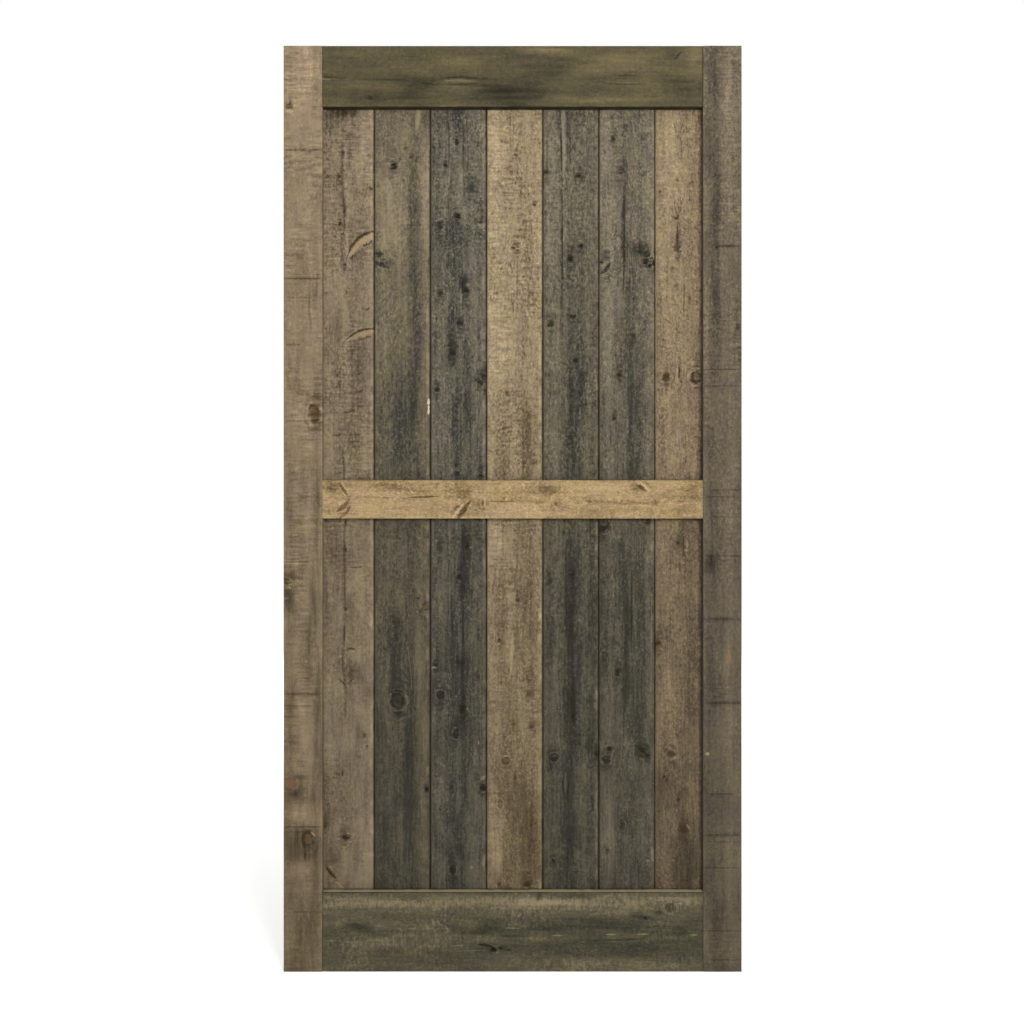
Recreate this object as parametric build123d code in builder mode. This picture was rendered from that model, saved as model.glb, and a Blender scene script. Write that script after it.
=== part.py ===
"""A rustic barn door slab: tongue-and-groove planks behind a face frame of stiles and rails.

X runs across the door, Z runs up from its bottom edge, and the front faces -Y.
The frame boards lie on the planks and are fixed by wood screws driven from the back.
All lengths are in millimetres.
"""

import os
from math import ceil, radians, tan

from build123d import *

# Door size
door_width = 1056.0
door_height = 2134.0

# Boards of the face frame
frame_thickness = 19.0
stile_width = 89.0
top_rail_width = 140.0
mid_rail_width = 89.0
bottom_rail_width = 184.0
eased_radius = 1.5  # rounded long edges on the front
butt_gap = 0.4  # hairline where a rail's end meets a stile

# Planks, counted from the left edge of the door
plank_thickness = 19.0
plank_coverage = 130.5  # from one seam to the next
left_rip_width = 75.0  # face of the plank ripped down for the left edge
narrowest_rip = 40.0  # least face of the plank ripped down for the right edge
seam_gap = 1.6  # between the faces of two neighbouring planks
seam_bevel = 2.4  # bevels that make the seam's V on the front
back_bevel = 0.8  # eased edges on the back

# Tongue and groove
tongue_length = 9.5
tongue_thickness = 6.4
tongue_bevel = 1.0
tongue_play = 0.15  # each side of a tongue in its groove
groove_spare = 1.2  # free depth in front of a tongue

# Wood screws from the back, through a plank and into a frame board
screw_shank_radius = 2.1
screw_head_radius = 4.2
screw_head_angle = 90.0
screw_tip_length = 4.0
screw_cover = 6.0  # wood left in front of a screw's tip
screw_play = 0.1  # round a shank or a head in its hole
screw_sink = 0.3  # head below the back face
pilot_spare = 0.5  # free depth in front of a screw's tip
screw_spread_share = 0.26  # of the plank's span behind a rail, each side of its middle
screw_stagger_share = 0.22  # of the rail's width, above and below its middle
narrowest_screw_span = 35.0  # a plank with less of its face behind a rail gets no screw there
stile_screw_pitch = 300.0  # largest distance between screws along a stile
stile_screw_margin = 60.0  # from each end of a stile

cut_overrun = 1.0  # holes run this far past a face

# Places worked out from the sizes
left_edge = -door_width / 2
right_edge = door_width / 2
front_y = -(plank_thickness + frame_thickness) / 2
seat_y = front_y + frame_thickness  # frame boards lie on the planks here
back_y = seat_y + plank_thickness
plank_middle_y = (seat_y + back_y) / 2

rail_left = left_edge + stile_width + butt_gap
rail_right = right_edge - stile_width - butt_gap
panel_height = (door_height - top_rail_width - mid_rail_width - bottom_rail_width) / 2
mid_rail_low = bottom_rail_width + panel_height
top_rail_low = door_height - top_rail_width

groove_depth = tongue_length - seam_gap + groove_spare
groove_width = tongue_thickness + 2 * tongue_play
screw_length = plank_thickness + frame_thickness - screw_cover - screw_sink
half_head_slope = tan(radians(screw_head_angle / 2))
screw_head_height = (screw_head_radius - screw_shank_radius) / half_head_slope
countersink_radius = screw_head_radius + screw_play + screw_sink * half_head_slope
pilot_depth = frame_thickness - screw_cover + pilot_spare

full_planks = int((door_width - left_rip_width - narrowest_rip) // plank_coverage)


def plank_faces():
    """Left and right edge of every plank's front face, the two ripped edge planks included."""
    first_seam = left_edge + left_rip_width + seam_gap / 2
    seams = [first_seam + plank_coverage * k for k in range(full_planks + 1)]
    lows = [left_edge] + [seam + seam_gap / 2 for seam in seams]
    highs = [seam - seam_gap / 2 for seam in seams] + [right_edge]
    return list(zip(lows, highs))


def rail_screw_points(rail_low, rail_width):
    """Two screws in each plank behind a rail, one above the rail's middle and one below."""
    points = []
    for face_low, face_high in plank_faces():
        low = max(face_low, rail_left)
        high = min(face_high, rail_right)
        if high - low < narrowest_screw_span:
            continue
        for side in (-1, 1):
            across = (low + high) / 2 + side * screw_spread_share * (high - low)
            up = rail_low + rail_width * (0.5 + side * screw_stagger_share)
            points.append((across, up))
    return points


def stile_screw_points(outer_edge, face):
    """A row of screws up a stile, in the middle of what it shares with its ripped edge plank."""
    shared = min(stile_width, face[1] - face[0])
    across = outer_edge + shared / 2 if outer_edge < 0 else outer_edge - shared / 2
    run = door_height - 2 * stile_screw_margin
    spaces = ceil(run / stile_screw_pitch)
    return [(across, stile_screw_margin + run * k / spaces) for k in range(spaces + 1)]


def facing_back(points, depth_y):
    """Planes at these X and Z places, at one depth, that look out of the back of the door."""
    return [Plane(origin=(x, depth_y, z), z_dir=(0, 1, 0)) for x, z in points]


def make_plank(name, face, grooved, tongued, screw_points):
    """One plank: its section with a groove on the left and a tongue on the right, run up the door."""
    face_low, face_high = face
    with BuildPart() as plank:
        with BuildSketch(Plane.XY) as section:
            with Locations(((face_low + face_high) / 2, plank_middle_y)):
                Rectangle(face_high - face_low, plank_thickness)
            front_corners = section.vertices().group_by(Axis.Y)[0].sort_by(Axis.X)
            if grooved:
                chamfer(front_corners.first, seam_bevel)
            if tongued:
                chamfer(front_corners.last, seam_bevel)
            chamfer(section.vertices().group_by(Axis.Y)[-1], back_bevel)
            if grooved:
                with Locations((face_low, plank_middle_y)):
                    Rectangle(
                        groove_depth,
                        groove_width,
                        align=(Align.MIN, Align.CENTER),
                        mode=Mode.SUBTRACT,
                    )
            if tongued:
                with Locations((face_high, plank_middle_y)):
                    Rectangle(tongue_length, tongue_thickness, align=(Align.MIN, Align.CENTER))
                chamfer(section.vertices().group_by(Axis.X)[-1], tongue_bevel)
        extrude(amount=door_height)
        with Locations(*facing_back(screw_points, back_y)):
            CounterSinkHole(
                screw_shank_radius + screw_play,
                countersink_radius,
                plank_thickness + cut_overrun,
                screw_head_angle,
            )
    plank.part.label = name
    return plank.part


def make_frame_board(name, x_span, z_span, along, screw_points):
    """One frame board: flat stock with its long front edges eased and pilot holes in its back."""
    with BuildPart() as board:
        with BuildSketch(Plane.XZ.offset(-seat_y)):
            with Locations((sum(x_span) / 2, sum(z_span) / 2)):
                Rectangle(x_span[1] - x_span[0], z_span[1] - z_span[0])
        extrude(amount=frame_thickness)
        front = board.faces().sort_by(Axis.Y)[0]
        fillet(front.edges().filter_by(along), eased_radius)
        with Locations(*facing_back(screw_points, seat_y)):
            Hole(screw_shank_radius + screw_play, pilot_depth)
    board.part.label = name
    return board.part


def make_screw():
    """One countersunk wood screw without its thread, pointing down from the top of its head."""
    with BuildPart() as screw:
        with BuildSketch(Plane.XZ):
            with BuildLine():
                Polyline(
                    (0, 0),
                    (screw_head_radius, 0),
                    (screw_shank_radius, -screw_head_height),
                    (screw_shank_radius, -screw_length + screw_tip_length),
                    (0, -screw_length),
                    close=True,
                )
            make_face()
        revolve(axis=Axis.Z)
    return screw.part


def make_screw_row(name, screw, screw_points):
    """All the screws that hold one frame board, as separate solids."""
    with BuildPart() as row:
        with Locations(*facing_back(screw_points, back_y - screw_sink)):
            add(screw)
    row.part.label = name
    return row.part


faces = plank_faces()

# Each frame board with its span across, its span up, the way its grain runs and its screws
frame_boards = {
    "left_stile": (
        (left_edge, left_edge + stile_width),
        (0, door_height),
        Axis.Z,
        stile_screw_points(left_edge, faces[0]),
    ),
    "right_stile": (
        (right_edge - stile_width, right_edge),
        (0, door_height),
        Axis.Z,
        stile_screw_points(right_edge, faces[-1]),
    ),
    "top_rail": (
        (rail_left, rail_right),
        (top_rail_low, door_height),
        Axis.X,
        rail_screw_points(top_rail_low, top_rail_width),
    ),
    "mid_rail": (
        (rail_left, rail_right),
        (mid_rail_low, mid_rail_low + mid_rail_width),
        Axis.X,
        rail_screw_points(mid_rail_low, mid_rail_width),
    ),
    "bottom_rail": (
        (rail_left, rail_right),
        (0, bottom_rail_width),
        Axis.X,
        rail_screw_points(0, bottom_rail_width),
    ),
}

plank_names = ["left_edge_plank"]
plank_names += [f"plank_{k}" for k in range(1, full_planks + 1)]
plank_names += ["right_edge_plank"]

pieces = []
screw = make_screw()
all_points = []
for name, (x_span, z_span, along, points) in frame_boards.items():
    pieces.append(make_frame_board(name, x_span, z_span, along, points))
    pieces.append(make_screw_row(f"{name}_screws", screw, points))
    all_points += points

for name, face in zip(plank_names, faces):
    own_points = [p for p in all_points if face[0] < p[0] < face[1]]
    pieces.append(
        make_plank(
            name,
            face,
            grooved=name != plank_names[0],
            tongued=name != plank_names[-1],
            screw_points=own_points,
        )
    )

os.makedirs("parts", exist_ok=True)
for piece in pieces:
    export_step(piece, f"parts/{piece.label}.step")
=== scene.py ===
"""A rustic barn door slab in rough-sawn, stained pine, with each board's knots, saw marks and torn grain.

X runs across the door, Z runs up from its bottom edge, and the front faces -Y. Lengths are in metres.
Places that were read off the photograph are in pixels of its square frame, across and down from its
top left corner.
"""

from math import pi, radians

import bpy
import numpy as np
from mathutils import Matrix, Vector


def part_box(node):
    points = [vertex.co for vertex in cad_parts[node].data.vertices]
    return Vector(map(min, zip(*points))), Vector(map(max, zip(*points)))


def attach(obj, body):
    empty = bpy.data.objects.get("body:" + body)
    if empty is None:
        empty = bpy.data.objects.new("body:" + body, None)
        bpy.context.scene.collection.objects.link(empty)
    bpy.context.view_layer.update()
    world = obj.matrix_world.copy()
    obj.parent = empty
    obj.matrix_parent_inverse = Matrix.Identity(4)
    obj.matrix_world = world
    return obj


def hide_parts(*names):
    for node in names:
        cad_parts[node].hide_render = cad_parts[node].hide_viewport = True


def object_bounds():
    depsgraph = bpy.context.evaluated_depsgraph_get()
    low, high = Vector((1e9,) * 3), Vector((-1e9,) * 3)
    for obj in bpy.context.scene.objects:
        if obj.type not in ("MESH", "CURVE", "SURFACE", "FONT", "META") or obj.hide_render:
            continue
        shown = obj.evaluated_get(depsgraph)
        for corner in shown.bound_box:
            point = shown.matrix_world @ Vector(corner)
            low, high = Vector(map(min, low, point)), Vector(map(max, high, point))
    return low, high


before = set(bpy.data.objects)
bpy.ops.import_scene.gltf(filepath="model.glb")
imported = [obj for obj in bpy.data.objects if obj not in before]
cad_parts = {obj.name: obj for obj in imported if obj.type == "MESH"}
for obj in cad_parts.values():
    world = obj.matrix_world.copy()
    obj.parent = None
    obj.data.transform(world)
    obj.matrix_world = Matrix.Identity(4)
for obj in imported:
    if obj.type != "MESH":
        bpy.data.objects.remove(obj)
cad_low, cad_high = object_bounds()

# The photograph's frame and where the door's edges lie in it
PHOTO_SIDE_PX = 1024
DOOR_LEFT_PX = 283.4
DOOR_RIGHT_PX = 741.9
DOOR_TOP_PX = 46.0
DOOR_BOTTOM_PX = 971.6
EYE_DISTANCE = 2.42  # from the camera to the widest line of the frame boards, just behind their eased edges
EASED_RADIUS = 0.0015
SENSOR_MM = 36.0

METRES_PER_PX = (cad_high.z - cad_low.z) / (DOOR_BOTTOM_PX - DOOR_TOP_PX)
FOCAL_PX = EYE_DISTANCE / METRES_PER_PX
EYE_X = (cad_low.x + cad_high.x) / 2 - ((DOOR_LEFT_PX + DOOR_RIGHT_PX - PHOTO_SIDE_PX) / 2) * METRES_PER_PX
EYE_Z = (cad_low.z + cad_high.z) / 2 + ((DOOR_TOP_PX + DOOR_BOTTOM_PX - PHOTO_SIDE_PX) / 2) * METRES_PER_PX
EYE_Y = cad_low.y + EASED_RADIUS - EYE_DISTANCE

# Boards of the face frame, and the solids that hold their screws
STILES = ["left_stile", "right_stile"]
RAILS = ["top_rail", "mid_rail", "bottom_rail"]
SCREW_NODES = [f"{board}_screws" for board in STILES + RAILS]

# Where the random draws of the planks and of the frame boards start
PLANK_SEED = 11
FRAME_SEED = 31

# Depths of the slab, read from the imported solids
FRONT_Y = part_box("mid_rail")[0].y
SEAT_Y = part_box("mid_rail")[1].y
BACK_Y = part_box("plank_1")[1].y
TOUCHING = 1e-6

# Sections of the boards
SEAM_BEVEL = 0.0024
BACK_BEVEL = 0.0008
TONGUE_LENGTH = 0.0095
TONGUE_THICKNESS = 0.0064
TONGUE_BEVEL = 0.001
GROOVE_DEPTH = 0.0091
GROOVE_WIDTH = 0.0067

# Wood screws
SCREW_HEAD_RADIUS = 0.0042
SCREW_SINK = 0.0003
COUNTERSINK_RADIUS = 0.0046
COUNTERSINK_DEPTH = 0.0012

# How finely the boards are divided
ALONG_STEP = 0.0057
RAIL_STEP = 0.6 * ALONG_STEP
ACROSS_STEP = 0.0025
HIDDEN_STEP = 0.03
BACK_STEP = HIDDEN_STEP / 2
SHARP_ANGLE = radians(32)

# Rows of points put in round a screw, about an edge of the face frame, and in from a frame board's ends
SCREW_RINGS = (0.0, 0.0022, 0.0039, 0.0043, 0.0046, 0.0056, 0.0078)
EDGE_OFFSETS = (-0.005, -0.0038, -0.0025, -0.0013, 0.0, 0.0013, 0.0025, 0.0038, 0.0055)
END_OFFSETS = (0.001, 0.002, 0.0035, 0.005)

# Depth of the relief in the wood
SAW_WAVE_DEPTH = 0.00022
SAW_WAVE_PITCH = 0.031
FUZZ_DEPTH = 0.00025
KNOT_DEPTH = 0.0007
TEAR_DEPTH = 0.0013
KERF_DEPTH = 0.0006
KERF_HALF_WIDTH = 0.0022
KERF_FADE = (-0.004, 0.006)
ARRIS_WEAR = 0.0007
ARRIS_CHIP = 0.0015

# How strongly the listed stains and painted shadows show, and how far their edges wander in wide and in
# fine waves
STAIN_GAIN = 1.35
WIDE_WANDER = 0.004
FINE_WANDER = 0.0016

# How far a knot reaches, in its half widths, where it fades, and what a step along the grain counts
KNOT_REACH = 3.2
KNOT_FADE = 0.7 * KNOT_REACH
ALONG_SHARE = 0.6

# How far a knot bends the grain, across and along it in its half widths, and how strongly
BEND_ACROSS, BEND_ALONG = 1.9, 3.4
BEND_STRENGTH = 0.85

# Where a tear's looks fade out: along it in its half lengths, and beside it in its half widths
TEAR_END_FADE = (1.5, 1.15)
TEAR_SIDE_FADE = (5.0, 3.4)

# Finish of each board: its stain from dark streaks to pale wood (sRGB), and how strongly each pattern shows
# In a finish, foot is painted shade that darkens a board towards the bottom and lightens it towards the
# top, and lean is painted shade that darkens a rail towards the right
BOARD_FINISHES = {
    "left_stile": dict(
        slot="stile_tan_brown", deep=(84, 72, 53), body=(120, 105, 84), pale=(149, 130, 104),
        band=0.5, streak=0.3, speckle=0.45, hatch=0.95, foot=-0.16, blotch=0.7, cool=0.6,
        raw=(186, 166, 130), knot=(52, 38, 22),
    ),
    "right_stile": dict(
        slot="stile_umber", deep=(60, 53, 43), body=(86, 77, 63), pale=(112, 100, 82),
        band=0.8, streak=0.4, speckle=0.75, hatch=0.7, foot=-0.22, blotch=0.7,
    ),
    "top_rail": dict(
        slot="rail_olive", deep=(52, 49, 34), body=(77, 70, 50), pale=(102, 92, 66),
        band=0.5, streak=0.5, speckle=0.34, hatch=0.2, lean=-0.06, blotch=0.8, cool=0.1,
    ),
    "mid_rail": dict(
        slot="rail_tan", deep=(106, 89, 60), body=(147, 125, 91), pale=(172, 150, 114),
        band=0.4, streak=0.6, speckle=0.85, hatch=0.3, lean=-0.07, blotch=0.7, cool=0.0,
        raw=(196, 176, 138), knot=(84, 62, 32),
    ),
    "bottom_rail": dict(
        slot="rail_olive", deep=(56, 54, 42), body=(80, 75, 58), pale=(112, 102, 80),
        band=0.6, streak=0.5, speckle=1.0, hatch=1.6, lean=-0.04, blotch=0.8, cool=0.1,
        raw=(142, 132, 102), hatch_length=0.014,
    ),
    "left_edge_plank": dict(
        slot="plank_slate", deep=(60, 58, 49), body=(94, 88, 74), pale=(122, 113, 95),
        band=0.8, streak=0.8, speckle=0.8, hatch=0.3, blotch=0.7,
    ),
    "plank_1": dict(
        slot="plank_taupe", deep=(83, 71, 53), body=(124, 110, 90), pale=(152, 136, 110),
        band=0.6, streak=0.5, speckle=0.68, hatch=0.9, foot=-0.1, blotch=0.7, cool=0.8,
        knot=(44, 34, 22),
    ),
    "plank_2": dict(
        slot="plank_grey_olive", deep=(55, 53, 45), body=(92, 85, 69), pale=(122, 110, 88),
        band=0.8, streak=0.75, speckle=0.8, hatch=0.4, foot=-0.42, blotch=0.7, cool=1.0,
        raw=(136, 125, 101),
    ),
    "plank_3": dict(
        slot="plank_charcoal", deep=(52, 50, 44), body=(85, 81, 69), pale=(114, 105, 91),
        band=0.9, streak=1.0, speckle=1.05, hatch=0.4, foot=-0.3, blotch=0.8, cool=1.0,
        raw=(140, 131, 112),
    ),
    "plank_4": dict(
        slot="plank_tan", deep=(94, 80, 59), body=(130, 115, 91), pale=(155, 138, 109),
        band=0.6, streak=0.6, speckle=1.05, hatch=1.0, foot=-0.4, blotch=0.6, cool=0.2,
        raw=(184, 165, 130), knot=(50, 38, 22),
    ),
    "plank_5": dict(
        slot="plank_slate", deep=(52, 50, 42), body=(84, 79, 65), pale=(113, 104, 87),
        band=0.8, streak=0.95, speckle=1.05, hatch=0.5, foot=-0.4, blotch=0.6, cool=1.0,
        raw=(140, 130, 108),
    ),
    "plank_6": dict(
        slot="plank_slate", deep=(57, 54, 43), body=(90, 84, 71), pale=(119, 109, 91),
        band=0.9, streak=0.85, speckle=0.95, hatch=0.35, foot=-0.38, blotch=0.6, cool=1.0,
        raw=(140, 130, 110),
    ),
    "plank_7": dict(
        slot="plank_honey", deep=(80, 69, 53), body=(120, 104, 82), pale=(146, 129, 100),
        band=0.5, streak=0.75, speckle=0.92, hatch=0.5, foot=-0.45, blotch=0.6, cool=0.6,
        raw=(180, 160, 124), knot=(44, 33, 19),
    ),
    "right_edge_plank": dict(
        slot="plank_taupe", deep=(78, 70, 56), body=(116, 104, 84), pale=(146, 130, 106),
        band=0.7, streak=0.6, speckle=0.8, hatch=0.3, blotch=0.7,
    ),
}

KNOT_DARK = (20, 16, 9)
KNOT_BROWN = (98, 71, 44)
# Dark brown of the painted shade in seams, corners, joints and undersides, and of the other darkened places
SHADE_AND_GRIME_BROWN = (34, 26, 13)
RAW_WOOD = (164, 142, 106)
FRESH_SPLINTER = (216, 204, 172)
RUST = (150, 94, 44)
SCREW_STEEL = (66, 64, 60)
SCREW_RUBBED = (104, 100, 94)
FLOOR_PALE = (236, 236, 234)

# What multiplies a stain's colour, red green blue: in its dark bands, and in its olive and its rosy patches
SHADE_TINT = (0.90, 1.0, 1.12, 1.0)
OLIVE_TINT = (0.992, 1.008, 0.945, 1.0)
ROSY_TINT = (1.006, 0.988, 1.065, 1.0)

# In the tables below, a value that is left out at a row's end is 0

# Knots: place, half width and half height in pixels, then dark filling, rings and brown heart, 0 to 1
KNOTS = {
    "left_stile": [
        (289, 106, 3.4, 2.4, 0.85, 0, 0.3), (290, 101.8, 1.6, 2.4, 0.8, 0, 0.2),
        (314.2, 413.2, 5.2, 8.2, 0.95, 1, 0.45), (286.5, 581, 2.8, 3.6, 0.75, 0, 0.1),
        (287, 592.5, 3, 3.6, 0.5), (289.2, 784.4, 6.2, 5.4, 0.1, 0.25, 0.75),
        (308, 840.5, 5.6, 8, 0.08, 0.65, 0.8), (305.2, 854.5, 1.7, 2.6, 0.75),
    ],
    "right_stile": [
        (717, 248, 2.2, 2.4, 0.75), (733, 158, 2.2, 1.4, 0.5), (737.5, 327, 2.5, 4, 0.5),
    ],
    "plank_1": [
        (343, 152.5, 1.5, 2.1, 0.65), (338.8, 177, 2.1, 2.1, 0.95), (344, 211, 1.6, 1.9, 0.75),
        (340, 224, 1.8, 2.4, 0.95), (345, 264.5, 1.6, 2, 0.8), (346.5, 292.5, 1.8, 2.2, 0.8),
        (371, 189, 1.8, 1.6, 0.45), (345.5, 521.5, 1.5, 2.4, 0.6), (345.5, 550.5, 1.7, 1.9, 0.75),
        (342, 600.5, 1.5, 1.7, 0.3), (345.8, 609.5, 1.8, 2.3, 0.7), (345.5, 711, 2.2, 1.5, 0.4),
        (364, 736, 2.2, 2.6, 0.55), (367, 746, 1.5, 1.8, 0.5), (359, 757.5, 2.6, 1.3, 0.4),
        (345.3, 838, 4.8, 3.5, 1), (325, 825, 2.1, 2.6, 0.65), (332, 861, 6.5, 4.6, 0.35),
    ],
    "plank_2": [
        (393.4, 165.7, 3.9, 4.4, 1), (400, 159, 1.5, 1.4, 0.5), (405.5, 148, 2, 2, 0.5),
        (410.6, 156.5, 1.5, 1.4, 0.5), (430, 262, 2.6, 5, 0.5), (418, 599, 1.7, 2, 0.75),
        (426, 607, 3.9, 3, 0, 0.8, 1), (421, 611, 3.2, 2, 1), (397.6, 700.8, 6.2, 7.4, 0.45, 1),
        (426.6, 790, 2.4, 4.6, 0.8), (397, 618, 3.8, 8, 0.15, 0.4),
    ],
    "plank_3": [
        (456.8, 142, 1.7, 3.2, 0.85), (445.3, 166, 1.8, 2.6, 0.85), (471.5, 187, 4.5, 5.4, 0.4),
        (457.3, 216.3, 3.6, 3.9, 1, 0.4), (440.5, 224, 3.6, 4.2, 0.7), (481.5, 219, 3, 5.6, 0.65),
        (440, 292.8, 3.2, 3.8, 0.8, 0.4), (466.5, 290, 3.5, 4.8, 1), (460.6, 322, 2.8, 3.5, 0.95),
        (452.3, 352.2, 3.2, 3.5, 0.95, 0.3), (437, 388.5, 2.8, 3, 1), (484.4, 376.6, 3, 3.6, 1),
        (485, 390.5, 1.7, 3.6, 0.8), (456, 466, 2.2, 3, 0.6), (457, 473.5, 3, 2.8, 0.9, 0.2),
        (481, 476, 3, 3.6, 0.9), (467, 546.5, 2.7, 4.4, 0.8), (440.8, 549, 2.6, 3.6, 0.4),
        (459.5, 576.5, 2.6, 3.2, 0.8), (457.5, 661.5, 2.2, 3.2, 0.6), (462.5, 663, 2, 3, 0.75),
        (436, 665, 2, 1.8, 0.75), (440.4, 694.6, 3.4, 3.8, 0.5, 0.9), (462.6, 708.8, 3, 4.4, 0.85, 0.6),
        (456, 733.2, 2.9, 4, 0.85, 0.6), (476.5, 777, 4, 4.6, 0.45), (482.6, 787, 3.6, 3.4, 1),
        (451.8, 787, 2.2, 1.9, 0.55), (440.3, 810, 1.6, 1.8, 0.5), (452.4, 870, 3, 4.4, 0.8, 0.7),
    ],
    "plank_4": [
        (516, 154.5, 2.6, 1.8, 0.8, 0, 0.1), (510, 166, 2.4, 2.6, 0.35), (539.7, 144, 1.6, 2, 0.75),
        (534.4, 204.8, 2.4, 1.9, 0.85), (516.6, 243.8, 3.4, 2.2, 0.9), (513.6, 247.8, 2.8, 2, 0.85),
        (516.8, 251.4, 3.8, 2.2, 0.9), (531, 240, 2.4, 1.6, 0.25), (507, 394, 2.2, 2.4, 0.65),
        (534, 462, 2.6, 2.4, 0.5), (510, 583.5, 1.8, 2.2, 0.3), (518, 600, 2, 1.8, 0.65),
        (499.5, 640, 1.7, 2, 0.7), (530, 677.5, 3.2, 3.4, 0.25, 0.5), (529.5, 693.5, 2.6, 2.4, 0.4),
        (531.5, 727, 3.2, 3, 0.6, 0, 0.1), (513.6, 725.5, 1.6, 3, 0.5),
        (506, 760.5, 4, 3.8, 0.5, 0.6, 0.25), (515, 778, 1.8, 2.4, 0.6), (500.3, 804, 2.4, 4.4, 0.25, 0.7),
        (499, 884.8, 2.4, 2.4, 0.8, 0, 0.1), (527, 884, 3.8, 3.2, 0.95, 0, 0.1),
    ],
    "plank_5": [
        (546.2, 173.2, 4.4, 2.9, 1), (578.5, 174.3, 3.7, 2.6, 1, 0, 0.1), (581.5, 179, 2.4, 2.6, 0.5),
        (581, 245.8, 2.4, 2.5, 1), (570.2, 258.6, 3.3, 4, 1), (551.2, 323.4, 2.8, 3.3, 1),
        (549.2, 325.2, 2, 1.7, 0.95), (575.4, 360.6, 2.6, 2.9, 0.9), (570, 437, 2.6, 2.8, 0.7),
        (571.6, 574, 3.2, 1.6, 0.8), (550, 581, 2, 3, 0.5), (573, 715.8, 2, 2.4, 0.8),
        (554.2, 757.2, 4, 3.4, 0.8, 1), (596.7, 754, 2.4, 3, 0.8), (553.6, 861, 1.9, 2.2, 0.75),
        (576, 871, 2.6, 2.6, 0.4),
    ],
    "plank_6": [
        (613.2, 138.2, 2.9, 3.4, 0.8, 0, 0.1), (621, 170.6, 3.5, 4.5, 1, 0, 0.1),
        (605.6, 257, 4.6, 4, 0.6), (602, 262, 2.9, 2, 1), (641, 249.5, 3.6, 3, 0.5),
        (647, 254.5, 4, 2.6, 0.9), (652, 258, 3, 1.9, 1), (645.5, 262.6, 3.6, 2, 0.95),
        (650, 265.4, 2.8, 1.8, 0.85), (653.8, 262.4, 1.9, 4.4, 1), (633.2, 336.2, 2.5, 2.9, 0.9),
        (619, 375, 2.6, 3, 0.85), (614, 418, 2.4, 2.6, 0.75), (602.2, 528.8, 3.8, 3.4, 1),
        (648, 521.6, 4.6, 2.8, 1), (617.4, 672.3, 2.8, 3.7, 1, 0.3), (604.6, 656, 2.6, 4.4, 0.3, 0.8),
        (609.4, 748.5, 3.5, 3.2, 0.9), (606, 759.8, 4, 3.7, 0.6, 0.8), (642.6, 751, 4, 3.1, 1),
        (647.3, 755.6, 3, 2.2, 1), (623, 824.5, 2.4, 2.2, 0.35, 0.6), (607, 850, 2.6, 1.4, 0.65),
    ],
    "plank_7": [
        (660, 191.5, 1.9, 2.1, 0.95, 0, 0.1), (675.5, 218, 1.9, 1.7, 0.75), (677.3, 180, 1.8, 1.8, 0.5),
        (677.5, 247.5, 3.6, 4, 0.9, 0, 0.2), (672.5, 268, 1.9, 3, 0.4), (677, 286, 2.4, 3.2, 0.45),
        (665.8, 378.2, 4.2, 3.4, 0.85, 0.7, 0.2), (689.5, 298.5, 1.7, 2.5, 0.6),
        (695.8, 377.5, 5, 5.4, 0.15, 1, 0.3), (694, 381.4, 2.6, 2, 0.95), (699, 380.5, 1.8, 2.2, 0.7),
        (697.2, 371.6, 2.2, 1.5, 0.6), (678, 543.5, 2, 2.2, 0.7), (657.6, 643.8, 3.9, 3.2, 1),
        (670.7, 753.8, 4, 3.7, 0.95, 0, 0.3), (664, 776.5, 1.9, 1.7, 0.7), (666.5, 779.5, 1.7, 1.7, 0.8),
        (678.6, 800, 1.7, 1.9, 0.7), (683.6, 829.8, 4.4, 4.1, 1, 0, 0.2),
    ],
    "top_rail": [
        (629, 52, 2, 1.8, 0.3, 0, 0.5), (371, 98, 3.4, 1.8, 0.45),
    ],
    "mid_rail": [
        (482.7, 503, 1.9, 2.8, 0.8, 0, 0.3), (504, 498.5, 1.3, 1.5, 0.45, 0, 0.4),
        (514.5, 501.5, 1.4, 1.3, 0.35, 0, 0.3), (536, 501.8, 2.1, 1.4, 0.6, 0, 0.3),
        (555.7, 504, 1.4, 2.4, 0.55, 0, 0.3), (578, 503, 1.3, 1.1, 0.45, 0, 0.3),
        (594.5, 500.5, 1.3, 1.1, 0.3, 0, 0.3), (622, 501, 1.3, 1, 0.45, 0, 0.3),
        (627, 501, 1.1, 1, 0.4, 0, 0.3), (640.3, 502.8, 1.8, 1.3, 0.6, 0, 0.3),
        (655.1, 502, 1.3, 2.4, 0.6, 0, 0.2), (678.5, 501.5, 1.2, 1, 0.35, 0, 0.2),
    ],
    "bottom_rail": [
        (493.5, 949.5, 4.4, 3, 0.95), (499, 948.5, 3, 2.2, 0.85), (509, 950, 2.2, 1.4, 0.6),
        (646, 918, 2.2, 2, 0.95), (670.5, 908, 4.6, 4.2, 0.4, 0.6),
    ],
}

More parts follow.
